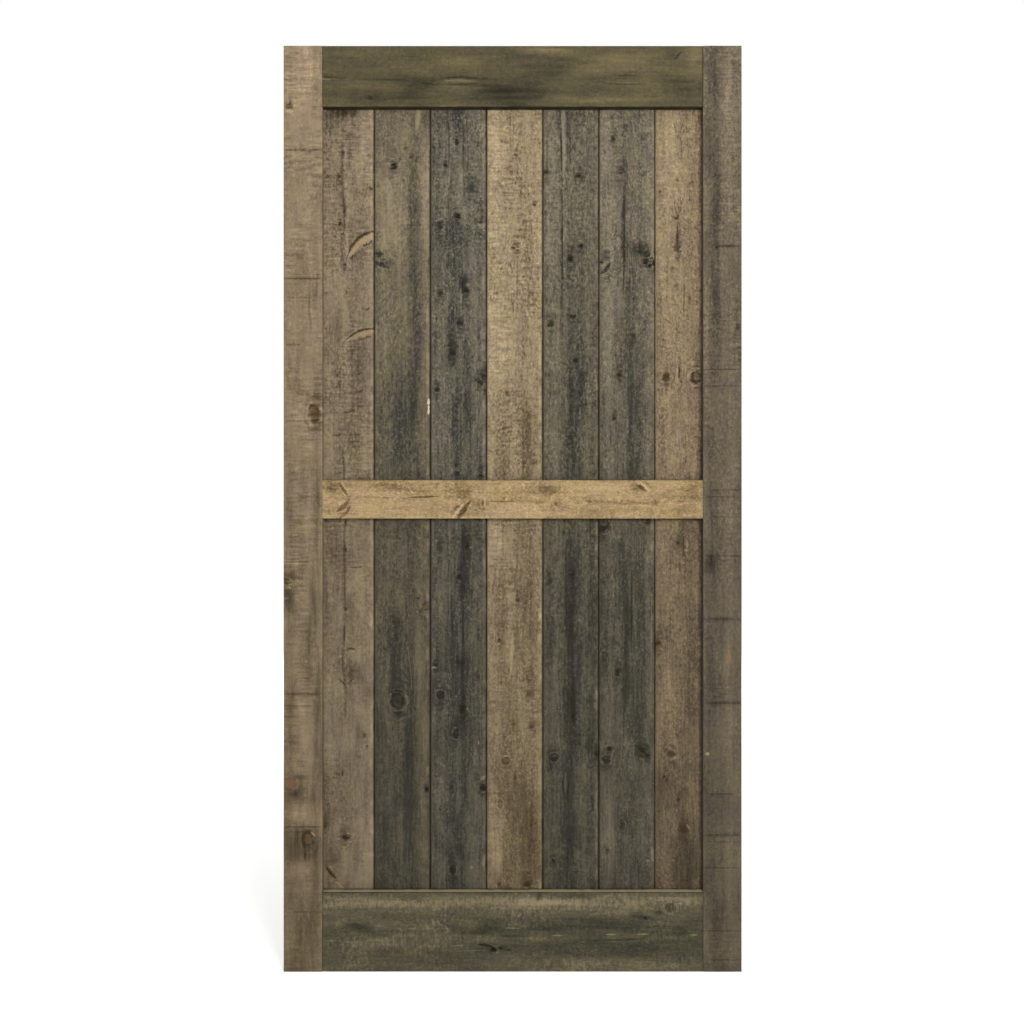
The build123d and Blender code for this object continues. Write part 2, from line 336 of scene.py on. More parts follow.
# Torn grain, slits and scratches: one end, the other end and half width in pixels, the middle from a dark
# slit (-1) to bare pale wood (1) or a fresh splinter (2), sideways bow in pixels, a dark rim, and rust
TEARS = {
    "left_stile": [
        (285, 111, 294, 111, 2.2, 0.7), (284, 563.5, 306, 563.5, 1, 0.5), (284, 576, 296, 584, 1.1, 0.25),
        (284.5, 586.5, 292, 588, 1.4, 0.5), (284, 781, 294, 785.5, 3.6, 0, 0, 0, 0.3),
        (302.4, 833, 304.6, 849, 1, -0.8, -1), (310.5, 831.5, 315.5, 836.5, 1, 0.6),
    ],
    "right_stile": [
        (729.2, 650, 729.8, 663, 0.8, 0, 0, 0, 0.8), (705, 754, 710, 754, 1.8, 0.8),
    ],
    "plank_1": [
        (347.5, 258.5, 380, 231, 4.1, 0.95, 3.2, 1), (346, 262, 355, 254.5, 1.5, -0.9),
        (363, 246.5, 374, 240, 1.1, -0.9), (345, 341.5, 379, 329.5, 3.3, 0.75, 1, 0.9),
        (355, 341, 374, 335.5, 0.9, -0.7), (361, 308, 371, 307, 1.2, -0.5, -2),
        (353, 373, 363, 371, 1.2, -0.5, -2), (352, 391, 364, 389, 1.2, -0.5, -2),
        (343, 412, 353, 410, 1.2, -0.5, -1.5), (332, 435, 342, 433, 1.2, -0.5, -1.5),
        (344.3, 622, 344, 646, 0.9, -0.8), (345.5, 651, 357, 650, 0.9, -0.8, 2.2),
        (348, 652.5, 356, 652, 1.1, 0.6, 1), (338, 678, 346, 686, 1, -0.7),
        (353, 679, 346.5, 685, 1, -0.6), (348, 682.5, 354, 681, 1.2, 0.4),
        (342.6, 769, 342.4, 777, 0.8, -0.9), (338, 843, 350, 843, 1.1, 0.6, -4.5),
        (325, 865, 337.5, 880, 1.4, -1, -1), (329, 864.5, 339, 877, 0.9, 0.4, -1),
        (336, 882, 345, 889, 1.5, 0.6), (348, 567, 366, 565, 0.8, -0.5, -1.5),
    ],
    "plank_2": [
        (428.6, 398, 428.8, 405.8, 1.5, 2.4), (428.5, 407, 428.7, 415, 1.4, 2.1),
        (373.5, 252.8, 385, 254.6, 1.7, -0.8), (374, 260.5, 391, 268, 2.2, -0.7, -1),
        (386, 694.5, 406, 693.5, 1.1, -0.9, 3.2), (420.5, 606, 428.5, 602.8, 0.9, -0.7, 1.2),
        (407, 645, 411, 694, 0.8, 0.35, 1.5), (411, 645, 415, 690, 0.8, 0.3, 1.5),
        (393, 712, 403, 711, 1.6, -0.6, -1.5), (404, 600, 405, 628, 0.8, -0.4, 2.5),
        (408, 160, 413, 159, 1.2, 0.6),
    ],
    "plank_3": [
        (447.5, 106, 448.4, 170, 0.9, -0.4, 0.8), (463.6, 112, 464.2, 184, 0.9, -0.4, -0.8),
        (475, 112, 474, 150, 0.9, -0.3, 0.6), (462, 250, 463, 330, 0.9, -0.45),
        (470, 390, 470, 470, 0.9, -0.4), (451, 590, 452, 640, 0.9, -0.4), (463, 600, 463, 650, 0.9, -0.4),
        (435, 540, 438, 541, 1, 0.7), (469, 547, 472, 548, 1.1, 0.6), (431, 668, 436, 667, 1.2, 0.9),
        (441, 229, 447, 232, 1, 0.5), (480, 780, 486, 776, 1.9, 0.8),
        (473.5, 380.5, 484, 386.5, 1.2, -0.7, 1.4), (478.5, 740.5, 478.5, 745.5, 1, 1),
        (469, 868, 474, 867, 1.4, 0.7),
    ],
    "plank_4": [
        (489, 169.5, 506, 169, 0.8, 0.5), (494, 176, 510, 176, 0.8, 0.4), (500, 197.5, 520, 197, 0.8, 0.4),
        (513, 630, 511, 674, 1.7, 0.6), (513.5, 112, 513, 150, 0.9, -0.4),
        (517.5, 256, 517, 318, 1.1, -0.45), (509, 260, 513, 273, 0.9, -0.5),
        (511, 293, 514, 316, 0.9, -0.5), (515.5, 300, 514.2, 316, 0.8, 0.4),
        (493, 291.5, 513, 291, 0.8, -0.35), (493, 298, 499, 299.5, 0.9, -0.6),
        (495, 318, 512, 317, 0.8, -0.4), (498, 325.5, 505, 326, 0.8, -0.5), (497, 643, 500, 645, 1, 0.5),
        (503, 759, 509, 757, 1, 0.5, 2),
    ],
    "plank_5": [
        (559.5, 98, 562, 192, 1, -0.85, 0.6), (569.8, 98, 569.3, 172, 0.9, -0.45, 0.6),
        (562.5, 190, 562, 270, 1, -0.6), (547, 112, 547, 190, 0.8, -0.5), (566, 540, 566, 640, 0.9, -0.4),
        (562, 778, 564, 800, 0.8, -0.6), (569.5, 778, 567, 800, 0.8, -0.6),
        (565.5, 772, 565.5, 794, 1.4, 0.35), (551, 168, 553, 171, 1, 0.5),
        (566.5, 313.8, 578, 314.6, 1.7, -1.3, -2.2), (569, 318.5, 575, 318.5, 1.4, 0.35),
        (568.5, 321.5, 577.5, 321.5, 0.9, -0.6, -1.2), (558.8, 256, 562, 268, 1, -0.6),
        (552, 757.5, 557, 756, 1.3, 0.5, 0.8),
    ],
    "plank_6": [
        (624, 190, 623, 300, 1, -0.6, 0.8), (628, 225, 627, 265, 0.9, -0.5),
        (647.5, 257, 654, 261.5, 1.5, 0.7), (642, 265.5, 653, 268, 1, -0.6),
        (598.5, 274, 610, 262, 2, -1.1, -2.6), (600, 278, 613, 274, 1, -0.6, -1.5),
        (603, 282, 615, 277, 0.9, -0.4, -1.5), (600, 265.5, 603.5, 266, 1.5, 0.5),
        (599, 531, 610, 522, 1.4, -0.8, -2), (601, 534, 611, 530, 0.9, 0.4, -2),
        (632, 560, 631, 660, 1, -0.5), (606.5, 123, 610.5, 123, 1.4, 0.9),
        (604, 759, 608, 758, 1.2, 0.5, 0.6), (636, 746, 648, 756, 1.5, -0.7),
        (638.5, 758.5, 645, 759.5, 1, 0.4), (645.5, 861, 650, 860.5, 1.3, 0.8),
        (651.5, 590, 651.5, 690, 0.8, 0.5),
    ],
    "plank_7": [
        (691.4, 379.6, 700.4, 381, 1.7, -1.2, -1.6), (692.6, 373, 692, 381, 1.3, -0.9, 0.9),
        (661.6, 380.4, 670.4, 374.4, 1.3, -0.8, 0.8), (674, 122, 678, 140, 0.9, -0.6),
        (683, 122, 678.5, 140, 0.9, -0.5), (682, 140, 681, 160, 1.1, -0.5),
        (674, 200, 678, 220, 0.9, -0.6), (683, 196, 679, 216, 0.9, -0.5),
        (677.8, 226, 677.3, 246, 1.3, -0.7), (670, 250, 685, 252, 0.9, -0.5),
        (667, 240, 667, 300, 0.9, -0.4), (684, 278, 683.6, 318, 0.9, -0.35, 0.3),
        (664, 318, 672, 324.5, 0.9, -0.6), (676, 321, 677, 338, 1.1, -0.45, 0.4),
        (662.5, 373.5, 671, 376.5, 0.9, -0.7, 1.8), (677, 367, 677.4, 384, 1.5, 0.45),
        (679.4, 366, 679.8, 380, 0.9, -0.7), (697, 369.5, 701, 367.5, 0.9, 0.5),
        (690, 384.5, 696.5, 384.5, 0.9, 0.5, -0.8), (691, 387, 698, 387, 1.1, -0.7, -0.6),
        (683.5, 536, 683.5, 556, 0.9, -0.6), (687, 538, 687, 552, 0.9, 0.4),
        (686.5, 824, 690, 830, 1.1, 0.6), (659, 648, 664, 650, 1.2, 0.4),
    ],
    "top_rail": [
        (442, 80.9, 476, 81.2, 1.4, 0.32, 0.8), (436, 78.5, 484, 79, 1.1, -0.5, 1.4),
        (442, 83.6, 480, 83.2, 1.1, -0.4, -1), (312, 78.2, 336, 78.6, 1.1, 0.5),
        (312, 76.4, 342, 78, 1.1, -0.4), (350, 79, 410, 80, 1.4, -0.3), (418, 82.5, 440, 85, 1.3, -0.3),
        (602, 81.2, 650, 81.6, 0.9, 0.16, -1), (604, 83.2, 650, 83.2, 0.9, -0.35, -1),
        (612, 76.2, 642, 76.4, 1.2, -0.35, 0.8), (674, 60, 682, 51, 1.4, -0.6),
    ],
    "mid_rail": [
        (338, 482, 348, 497, 1.4, -0.8), (341, 481, 350, 494, 0.9, 0.5),
        (350, 498, 335, 513, 1.8, -0.7, 1), (351, 505, 338, 519, 2.6, -0.55, 1),
        (352, 503, 343, 511, 1, 0.5, 1.5), (405, 497.8, 442, 496.2, 1.2, -0.8),
        (471, 500, 456, 521, 2.6, -0.8), (464, 503, 451, 520, 1.4, 0.7), (462, 503, 450, 513, 1.4, -0.6),
        (485, 501.5, 516, 501.5, 0.9, -0.4), (322, 497.6, 345, 498.2, 0.7, -0.4, 0.4),
        (346, 497.4, 402, 498.2, 0.7, -0.25, 0.5), (636, 484, 647, 492, 1.6, -0.7),
        (640, 482, 650, 491, 1, 0.9), (645, 482, 652, 488, 1, -0.5),
    ],
    "bottom_rail": [
        (552, 935.5, 564, 935.5, 0.9, 0.6), (605, 934.5, 617, 934.5, 1.1, 0.7),
        (637, 934.5, 649, 934, 1.1, 0.7), (689, 935, 699, 935, 1.1, 0.7), (504, 928, 520, 928.5, 0.8, 0.6),
        (444, 925, 449, 931, 1.1, 0.5), (426, 925, 430, 930, 1.1, 0.5), (432, 919, 434, 925, 1.1, 0.5),
        (437, 921, 441, 926, 1.1, 0.5), (396, 927.5, 404, 931, 1.3, 0.45), (374, 925.5, 384, 926, 1, 0.45),
        (406, 928.5, 418, 929, 0.8, 0.4), (322, 940.5, 338, 941, 0.8, 0.4), (344, 942, 352, 942, 0.9, 0.4),
        (450, 946, 466, 945, 1, 0.4), (476, 945, 494, 947.5, 1.5, -0.8, 1),
        (452, 951.5, 488, 950, 0.7, 0.3), (588, 940, 652, 938, 0.8, -0.5, -1),
    ],
}

# Streaks and blotches of stain, and a few painted shadows: place, half width and half height in pixels,
# then how much paler or darker
STAINS_AND_SHADOWS = {
    "left_stile": [
        (297, 801, 13, 4, -0.1), (295, 815, 12, 5, 0.1), (313, 800, 7, 5, -0.08), (296, 870, 12, 5, 0.08),
        (300, 858, 18, 5, -0.12), (288, 848, 5, 12, -0.1), (312, 770, 8, 6, -0.08), (294, 765, 8, 6, 0.08),
        (300, 75, 16, 40, 0.12), (288, 660, 5, 200, -0.1), (317, 520, 3, 120, -0.14),
        (311, 620, 3, 60, -0.16), (317, 720, 4, 60, -0.25), (300, 730, 10, 60, 0.1),
        (302, 930, 16, 40, -0.1), (291, 577, 8, 6, -0.2), (303, 792, 16, 8, -0.14),
        (302, 777.5, 12, 2.4, -0.2), (294, 793.5, 6, 3.2, -0.26), (302, 278.5, 18, 1.8, -0.14),
        (302, 150, 18, 1.8, -0.12), (302, 694, 18, 2, -0.14), (317, 860, 4, 60, -0.1),
        (302, 842, 20, 14, -0.3), (313, 615, 6, 26, -0.14), (289, 600, 6, 14, -0.25),
        (300, 812, 12, 10, 0.08), (310, 310, 1.2, 22, -0.25), (315, 298, 3, 12, -0.18),
    ],
    "right_stile": [
        (713, 100, 7, 70, -0.25), (731, 90, 7, 60, 0.12), (714, 200, 6, 60, -0.22),
        (717, 290, 5, 40, -0.2), (730, 210, 9, 60, 0.04), (711, 330, 5, 100, -0.08),
        (733, 430, 7, 90, 0.08), (710, 620, 4, 200, -0.18), (728, 700, 10, 120, 0.1),
        (712, 880, 6, 60, -0.1), (722, 945, 18, 20, 0.06), (711, 563, 6, 9, -0.4),
        (722, 892, 20, 24, 0.08), (724, 619, 16, 2.4, -0.16), (724, 702.7, 16, 2.2, -0.22),
        (728, 246, 12, 1.8, -0.18), (722, 835, 18, 2.2, -0.14),
    ],
    "plank_1": [
        (345, 112, 11, 5, -0.5), (331, 118, 8, 22, -0.2), (343, 200, 1.4, 70, -0.28),
        (330, 200, 7, 80, -0.06), (365, 150, 8, 60, 0.14), (352, 240, 5, 20, -0.12),
        (367, 190, 5, 8, -0.25), (343.5, 467, 1.2, 16, -0.35), (345, 580, 1.4, 66, -0.26),
        (331, 560, 8, 60, -0.08), (361, 580, 9, 70, 0.06), (355, 672, 7, 10, -0.22),
        (329, 740, 6, 60, 0.1), (355, 760, 12, 60, 0.02), (327, 810, 6, 40, -0.16),
        (345, 680, 1.3, 30, -0.25), (360, 735, 3, 12, -0.2), (362, 870, 8, 20, 0.08),
        (348, 390, 22, 70, -0.1),
    ],
    "plank_2": [
        (402, 390, 26, 90, -0.05), (402, 200, 26, 80, -0.03), (380, 253, 8, 3.2, -0.2),
        (382, 263, 9, 4, -0.22), (418, 119, 2.6, 14, 0.35), (427, 114, 3.5, 14, -0.35),
        (392, 205, 14, 50, 0.3), (411, 200, 4, 50, -0.12), (425, 200, 3, 60, 0.2),
        (392, 300, 13, 60, 0.05), (413, 300, 5, 70, -0.16), (400, 430, 18, 60, -0.2),
        (422, 450, 5, 60, 0.06), (398, 560, 12, 50, -0.08), (398, 655, 9, 36, -0.2),
        (419, 640, 3, 60, 0.2), (408, 760, 6, 60, -0.14), (425, 745, 3, 30, 0.12),
        (405, 830, 5, 70, -0.12), (423, 840, 5, 40, 0.08), (385, 830, 6, 60, -0.05),
        (399, 716, 5, 5, -0.2),
    ],
    "plank_3": [
        (458, 390, 26, 90, -0.03), (459, 116, 6, 18, -0.45), (446, 140, 1, 30, -0.15),
        (464, 165, 1, 34, -0.15), (472, 185, 5, 12, -0.3), (463.5, 284, 4.5, 9, -0.45),
        (438, 170, 6, 50, -0.04), (458, 235, 20, 14, -0.22), (457, 262, 10, 18, -0.2),
        (480, 160, 4, 50, 0.1), (470, 300, 7, 60, 0.08), (452, 330, 7, 90, -0.18), (481, 378, 6, 8, -0.26),
        (440, 430, 6, 60, 0.1), (460, 440, 7, 50, -0.16), (462, 560, 7, 50, -0.25),
        (442, 590, 8, 60, 0.04), (476, 590, 7, 60, 0.04), (458, 670, 9, 70, -0.33),
        (478, 660, 6, 60, 0.06), (440, 770, 6, 60, 0.08), (458, 830, 7, 60, -0.14),
        (476, 840, 7, 50, 0.06),
    ],
    "plank_4": [
        (515, 260, 26, 170, -0.05), (515, 800, 26, 60, -0.03), (498, 130, 9, 40, 0.16),
        (511, 130, 1.2, 26, -0.22), (528, 175, 10, 30, -0.06), (500, 200, 9, 60, 0.1),
        (530, 290, 8, 70, -0.08), (501, 335, 11, 60, 0.26), (528, 440, 10, 50, -0.26),
        (498, 440, 9, 60, -0.04), (510, 620, 3, 50, 0.18), (529, 600, 10, 80, -0.16),
        (518, 540, 1.2, 60, -0.2), (498, 740, 8, 60, 0.06), (499, 546, 10, 28, 0.3),
        (496, 840, 7, 46, 0.3), (528, 840, 14, 46, -0.22), (528, 760, 8, 40, -0.06),
    ],
    "plank_5": [
        (571, 390, 26, 90, -0.04), (571, 640, 26, 90, -0.03), (563, 140, 1.6, 32, 0.42),
        (559.5, 140, 1, 40, -0.3), (567, 140, 1, 40, -0.25), (551, 200, 6, 80, 0.14),
        (590, 150, 8, 60, -0.05), (562, 260, 1, 60, -0.28), (576, 330, 8, 80, -0.15),
        (552, 380, 6, 60, 0.08), (576, 430, 8, 60, -0.36), (553, 600, 8, 80, -0.12),
        (574, 590, 8, 60, -0.28), (574, 690, 8, 60, -0.3), (591, 610, 6, 80, -0.08),
        (563, 690, 1, 60, 0.12), (568, 810, 6, 80, -0.16), (590, 745, 6, 8, -0.12),
        (590, 850, 7, 40, 0.04),
    ],
    "plank_6": [
        (627, 390, 26, 90, -0.05), (627, 720, 26, 150, -0.03), (608, 130, 9, 40, 0.12),
        (609, 123, 1.4, 2, 0.4), (625, 150, 3, 60, -0.16), (643, 150, 10, 50, -0.02),
        (609, 220, 8, 60, 0.14), (624, 230, 2.2, 60, -0.32), (639, 249, 9, 7, -0.34),
        (640, 200, 8, 40, 0.05), (609, 330, 8, 70, 0.14), (630, 330, 6, 90, -0.16),
        (609, 430, 8, 60, 0.02), (634, 440, 10, 60, -0.2), (609, 600, 8, 70, -0.08),
        (625.5, 620, 4.5, 100, -0.3), (641, 620, 12, 90, -0.16), (640, 735, 9, 30, -0.12),
        (644, 751, 7, 6, -0.18), (609, 840, 9, 40, 0.16), (633, 850, 9, 40, -0.06),
    ],
    # On plank_7 the dark streaks at 700 and 701 across are painted shadow of the right stile
    "plank_7": [
        (678, 250, 24, 150, -0.04), (678, 620, 24, 90, -0.04), (700, 150, 4.5, 90, -0.18),
        (700, 330, 4.5, 90, -0.1), (665, 170, 7, 60, 0.08), (688, 180, 8, 40, 0.02),
        (680, 110, 18, 5, -0.12), (678, 235, 3, 22, -0.14), (677, 390, 6, 40, -0.1),
        (662, 470, 7, 50, -0.05), (684, 520, 12, 40, -0.14), (668, 580, 9, 60, 0.02),
        (690, 660, 9, 70, -0.1), (668, 700, 7, 40, 0.12), (678, 800, 18, 40, -0.06),
        (687, 864, 10, 26, -0.28), (701, 600, 3, 300, -0.1),
    ],
    "top_rail": [
        (350, 60, 40, 8, 0.06), (420, 88, 20, 12, -0.22), (490, 92, 22, 9, -0.45), (400, 98, 30, 6, -0.16),
        (545, 51, 30, 4, 0.3), (545, 57, 30, 3, -0.22), (620, 66, 50, 8, 0.22), (540, 74, 30, 8, -0.16),
        (525, 95, 22, 10, -0.35), (580, 100, 40, 4, 0.12), (610, 77, 24, 2.6, -0.1),
        (675, 85, 16, 14, -0.14), (697, 60, 10, 14, 0.22), (671, 56, 6, 5, -0.2), (640, 101, 60, 3, 0.16),
        (350, 92, 30, 8, -0.12), (450, 62, 26, 7, 0.08),
    ],
    "mid_rail": [
        (332, 487, 7, 6, -0.34), (400, 488, 50, 5, -0.2), (462, 489, 10, 7, -0.28),
        (380, 508, 22, 8, 0.02), (515, 508, 26, 6, 0.12), (550, 490, 10, 8, -0.2), (600, 488, 30, 5, 0.12),
        (638, 486, 8, 5, -0.25), (600, 502, 70, 2, -0.16), (350, 498, 40, 1, -0.14),
        (690, 495, 14, 10, -0.1), (620, 511, 70, 5, -0.12), (470, 505, 12, 8, -0.12),
    ],
    "bottom_rail": [
        (350, 904, 46, 9, 0.14), (440, 904, 60, 8, 0.14), (545, 903, 50, 7, 0.36), (640, 900, 60, 8, 0.18),
        (352, 926, 8, 5, -0.24), (364, 930, 9, 6, -0.3), (380, 934, 12, 3, -0.18),
        (330, 936, 24, 5, -0.18), (450, 926, 15, 4, -0.2), (470, 934, 18, 5, -0.26),
        (493, 928, 15, 7, -0.28), (512, 937, 14, 5, -0.22), (476, 945, 18, 3, -0.18),
        (508, 948, 18, 3, -0.16), (580, 926, 70, 7, -0.26), (600, 946, 90, 9, -0.18),
        (637, 914, 7, 4, -0.3), (659, 910, 5, 4, -0.28), (620, 962, 80, 6, 0.14), (400, 938, 30, 5, 0.06),
        (420, 962, 60, 6, -0.06), (690, 930, 22, 14, -0.22), (539, 897, 3, 5, -0.45),
        (575, 895, 16, 3, -0.3), (680, 905, 20, 8, 0.12), (430, 929, 24, 4, 0.1),
    ],
}

# Saw kerfs across the grain: height down the photo, from and to across it, and depth from 0 to 1, which
# also darkens them as painted shade in the groove
KERFS = {
    "left_stile": [
        (68, 297, 322, 0.35), (79, 284, 322, 0.25), (150, 284, 321, 0.6), (170, 296, 318, 0.3),
        (278.5, 284, 321, 0.55), (255, 284, 308, 0.2), (274.5, 284, 321, 0.25), (298, 288, 312, 0.35),
        (344.5, 284, 300, 0.3), (284, 284, 300, 0.3), (421, 286, 308, 0.5), (470, 284, 322, 0.2),
        (562, 284, 310, 0.45), (694, 284, 322, 0.4), (706, 284, 310, 0.5), (827, 284, 322, 0.55),
        (832, 284, 305, 0.35), (912, 295, 322, 0.4),
    ],
    "right_stile": [
        (120, 706, 738, 0.45), (215, 705, 716, 0.5), (246, 716, 741, 0.65), (369.5, 705, 741, 0.6),
        (386, 705, 741, 0.55), (490, 712, 741, 0.6), (497, 705, 741, 0.45), (517, 712, 741, 0.35),
        (556, 705, 741, 0.4), (619, 708, 741, 0.32), (703, 706, 741, 0.45), (794, 710, 734, 0.65),
        (835, 705, 741, 0.35), (842, 705, 741, 0.4), (868, 705, 741, 0.5), (931, 705, 741, 0.6),
        (960, 708, 741, 0.45),
    ],
    "plank_2": [
        (225, 378, 386, 0.5), (225, 400, 424, 0.4),
    ],
    "plank_4": [
        (168, 489, 506, 0.3), (193, 500, 520, 0.3), (214, 490, 512, 0.25), (560, 490, 506, 0.3),
    ],
    "plank_5": [
        (735, 573, 597, 0.4), (190, 546, 552, 0.3),
    ],
}


def smooth_step(low, high, value):
    """Rise from 0 at low to 1 at high with level ends, as t * t * (3 - 2 t)."""
    t = np.clip((value - low) / (high - low), 0, 1)
    return t * t * (3 - 2 * t)


def lattice_noise(across, along, seed):
    """Smooth noise from -1 to 1: random values on a repeating square lattice, joined by smooth steps."""
    cells = 61
    values = np.random.default_rng(seed).uniform(-1, 1, (cells, cells))
    col = np.floor(across).astype(int)
    row = np.floor(along).astype(int)
    right = smooth_step(0, 1, across - col)
    up = smooth_step(0, 1, along - row)
    low = values[row % cells, col % cells] * (1 - right) + values[row % cells, (col + 1) % cells] * right
    high = values[(row + 1) % cells, col % cells] * (1 - right)
    high = high + values[(row + 1) % cells, (col + 1) % cells] * right
    return low * (1 - up) + high * up


def px_at(depth_y):
    """The length that one pixel covers at this depth."""
    return (depth_y - EYE_Y) / FOCAL_PX


def from_photo(across_px, down_px, depth_y):
    """The X and Z of the point at this depth that the camera shows at this pixel."""
    x = EYE_X + (np.asarray(across_px, float) - PHOTO_SIDE_PX / 2) * px_at(depth_y)
    z = EYE_Z - (np.asarray(down_px, float) - PHOTO_SIDE_PX / 2) * px_at(depth_y)
    return x, z


def table_of(tables, board, columns):
    """The columns of a board's table, each with as many values as the table has rows."""
    rows = [(*row, *[0.0] * (columns - len(row))) for row in tables.get(board, [])]
    return np.array(rows, float).reshape(-1, columns).T


def pick(values, choice):
    """For each point, the value of the row that it has chosen."""
    return np.take_along_axis(values, choice[..., None], -1)[..., 0]


# Sections of the boards: points (across, depth) along the front from its low edge, then round by the back


def spread(low, high, step, extra=()):
    """Stations from low to high about a step apart, with some extra ones put in between."""
    count = max(2, int(round((high - low) / step)) + 1)
    stations = np.linspace(low, high, count)
    inside = [e for e in np.ravel(extra) if low < e < high]
    return np.unique(np.round(np.concatenate([stations, inside]), 7))


def corner_stations(edges):
    """Stations close in on each side of the frame boards' edges, for a crisp line of gathered stain."""
    return np.add.outer(np.asarray(edges), EDGE_OFFSETS)


def screw_stations(places):
    """Stations for the square rings of points round each screw."""
    rings = np.array(SCREW_RINGS)
    return np.add.outer(np.unique(np.round(places, 4)), np.concatenate([-rings, rings]))


def plank_section(face_low, face_high, grooved, tongued, screw_across, front_step):
    """A plank's outline: bevelled front, tongue on the high side, flat back and groove on the low side."""
    middle = (SEAT_Y + BACK_Y) / 2
    half_tongue = TONGUE_THICKNESS / 2
    half_groove = GROOVE_WIDTH / 2
    low_bevel = SEAM_BEVEL if grooved else 0.0
    high_bevel = SEAM_BEVEL if tongued else 0.0
    tip = face_high + TONGUE_LENGTH

    stile_edges = [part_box("left_stile")[1].x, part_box("right_stile")[0].x]
    front = spread(face_low + low_bevel, face_high - high_bevel, front_step, corner_stations(stile_edges))
    rows = [np.stack([front, np.full_like(front, SEAT_Y)], 1)]
    if tongued:
        rows.append([
            (face_high - SEAM_BEVEL / 2, SEAT_Y + SEAM_BEVEL / 2),
            (face_high, SEAT_Y + SEAM_BEVEL),
            (face_high, middle - half_tongue),
            (tip - TONGUE_BEVEL, middle - half_tongue),
            (tip, middle - half_tongue + TONGUE_BEVEL),
            (tip, middle + half_tongue - TONGUE_BEVEL),
            (tip - TONGUE_BEVEL, middle + half_tongue),
            (face_high, middle + half_tongue),
        ])
    else:
        rows.append([(face_high, middle)])
    rows.append([(face_high, BACK_Y - BACK_BEVEL)])
    near_screws = screw_stations(screw_across)
    back = spread(face_low + BACK_BEVEL, face_high - BACK_BEVEL, BACK_STEP, near_screws)[::-1]
    rows.append(np.stack([back, np.full_like(back, BACK_Y)], 1))
    rows.append([(face_low, BACK_Y - BACK_BEVEL)])
    if grooved:
        rows.append([
            (face_low, middle + half_groove),
            (face_low + GROOVE_DEPTH, middle + half_groove),
            (face_low + GROOVE_DEPTH, middle - half_groove),
            (face_low, middle - half_groove),
            (face_low, SEAT_Y + SEAM_BEVEL),
            (face_low + SEAM_BEVEL / 2, SEAT_Y + SEAM_BEVEL / 2),
        ])
    else:
        rows.append([(face_low, middle)])
    return np.concatenate([np.asarray(r, float) for r in rows])


def frame_section(low, high):
    """A frame board's outline: front with two eased edges, square sides and a flat back."""
    turn = np.linspace(0, pi / 2, 4)
    arc = EASED_RADIUS * (1 - np.cos(turn))
    drop = EASED_RADIUS * (1 - np.sin(turn))
    front = spread(low + EASED_RADIUS, high - EASED_RADIUS, ACROSS_STEP)[1:-1]
    middle = (FRONT_Y + SEAT_Y) / 2
    rows = [
        np.stack([low + arc, FRONT_Y + drop], 1),
        np.stack([front, np.full_like(front, FRONT_Y)], 1),
        np.stack([high - arc[::-1], FRONT_Y + drop[::-1]], 1),
        [(high, middle), (high, SEAT_Y), (low, SEAT_Y), (low, middle)],
    ]
    return np.concatenate([np.asarray(r, float) for r in rows])


# Fields over a board that place what the photograph shows


def knots_from(board, x, z, depth_y):
    """Each point's X and Z from each of a board's knots, the knots' half sizes, and their looks."""
    across_px, down_px, wide_px, high_px, *looks = table_of(KNOTS, board, 7)
    knot_x, knot_z = from_photo(across_px, down_px, depth_y)
    px = px_at(depth_y)
    return x[..., None] - knot_x, z[..., None] - knot_z, wide_px * px, high_px * px, np.stack(looks, -1)


def knot_field(board, x, z, depth_y, upright):
    """Each point's place in its nearest knot, in half widths, with how near it is; and that knot's looks.

    The nearness falls to 0 at the knot's reach, longer along the grain, and half way to the next knot.
    """
    dx, dz, half_wide, half_high, looks = knots_from(board, x, z, depth_y)
    if not len(looks):
        return np.zeros(x.shape + (3,)), np.zeros(x.shape + (3,))
    u = dx / half_wide
    v = dz / half_high
    away = np.hypot(u, ALONG_SHARE * v) if upright else np.hypot(ALONG_SHARE * u, v)
    nearest = away.argmin(-1)
    ranked = np.sort(np.concatenate([away, np.full(x.shape + (1,), np.inf)], -1), -1)
    near = smooth_step(KNOT_REACH, KNOT_FADE, ranked[..., 0])
    near = near * smooth_step(0.0, 0.5, ranked[..., 1] - ranked[..., 0])
    return np.stack([pick(u, nearest), pick(v, nearest), near], -1), looks[nearest]


def grain_bend(board, x, z, depth_y, upright):
    """How far the knots push the grain aside: each of them keeps its middle free of grain lines."""
    dx, dz, half_wide, half_high, _ = knots_from(board, x, z, depth_y)
    wide, high = (BEND_ACROSS, BEND_ALONG) if upright else (BEND_ALONG, BEND_ACROSS)
    weight = np.exp(-((dx / (wide * half_wide)) ** 2) - (dz / (high * half_high)) ** 2)
    return -((dx if upright else dz) * weight * BEND_STRENGTH).sum(-1)


def tear_field(board, x, z, depth_y):
    """Each point's place along and across its nearest tear, a shallow bow over a line, and its looks."""
    from_across, from_down, to_across, to_down, wide_px, bare, bow_px, rim, rust = table_of(TEARS, board, 9)
    if not len(bare):
        return np.zeros(x.shape + (3,)), np.zeros(x.shape + (3,))
    px = px_at(depth_y)
    start = np.stack(from_photo(from_across, from_down, depth_y), 1)
    end = np.stack(from_photo(to_across, to_down, depth_y), 1)
    half_run = (end - start) / 2
    half_length = np.hypot(half_run[:, 0], half_run[:, 1])
    along_x, along_z = (half_run / half_length[:, None]).T
    middle = (start + end) / 2
    dx = x[..., None] - middle[:, 0]
    dz = z[..., None] - middle[:, 1]
    run = (dx * along_x + dz * along_z) / half_length
    bow = bow_px * px * (1 - np.clip(run, -TEAR_END_FADE[0], TEAR_END_FADE[0]) ** 2)
    side = (dz * along_x - dx * along_z - bow) / (wide_px * px)
    near = smooth_step(*TEAR_END_FADE, np.abs(run)) * smooth_step(*TEAR_SIDE_FADE, np.abs(side))
    nearest = (near * np.exp(-np.abs(side) / 2)).argmax(-1)
    place = np.stack([pick(run, nearest), pick(side, nearest), pick(near, nearest)], -1)
    return place, np.stack([bare, rim, rust], -1)[nearest]


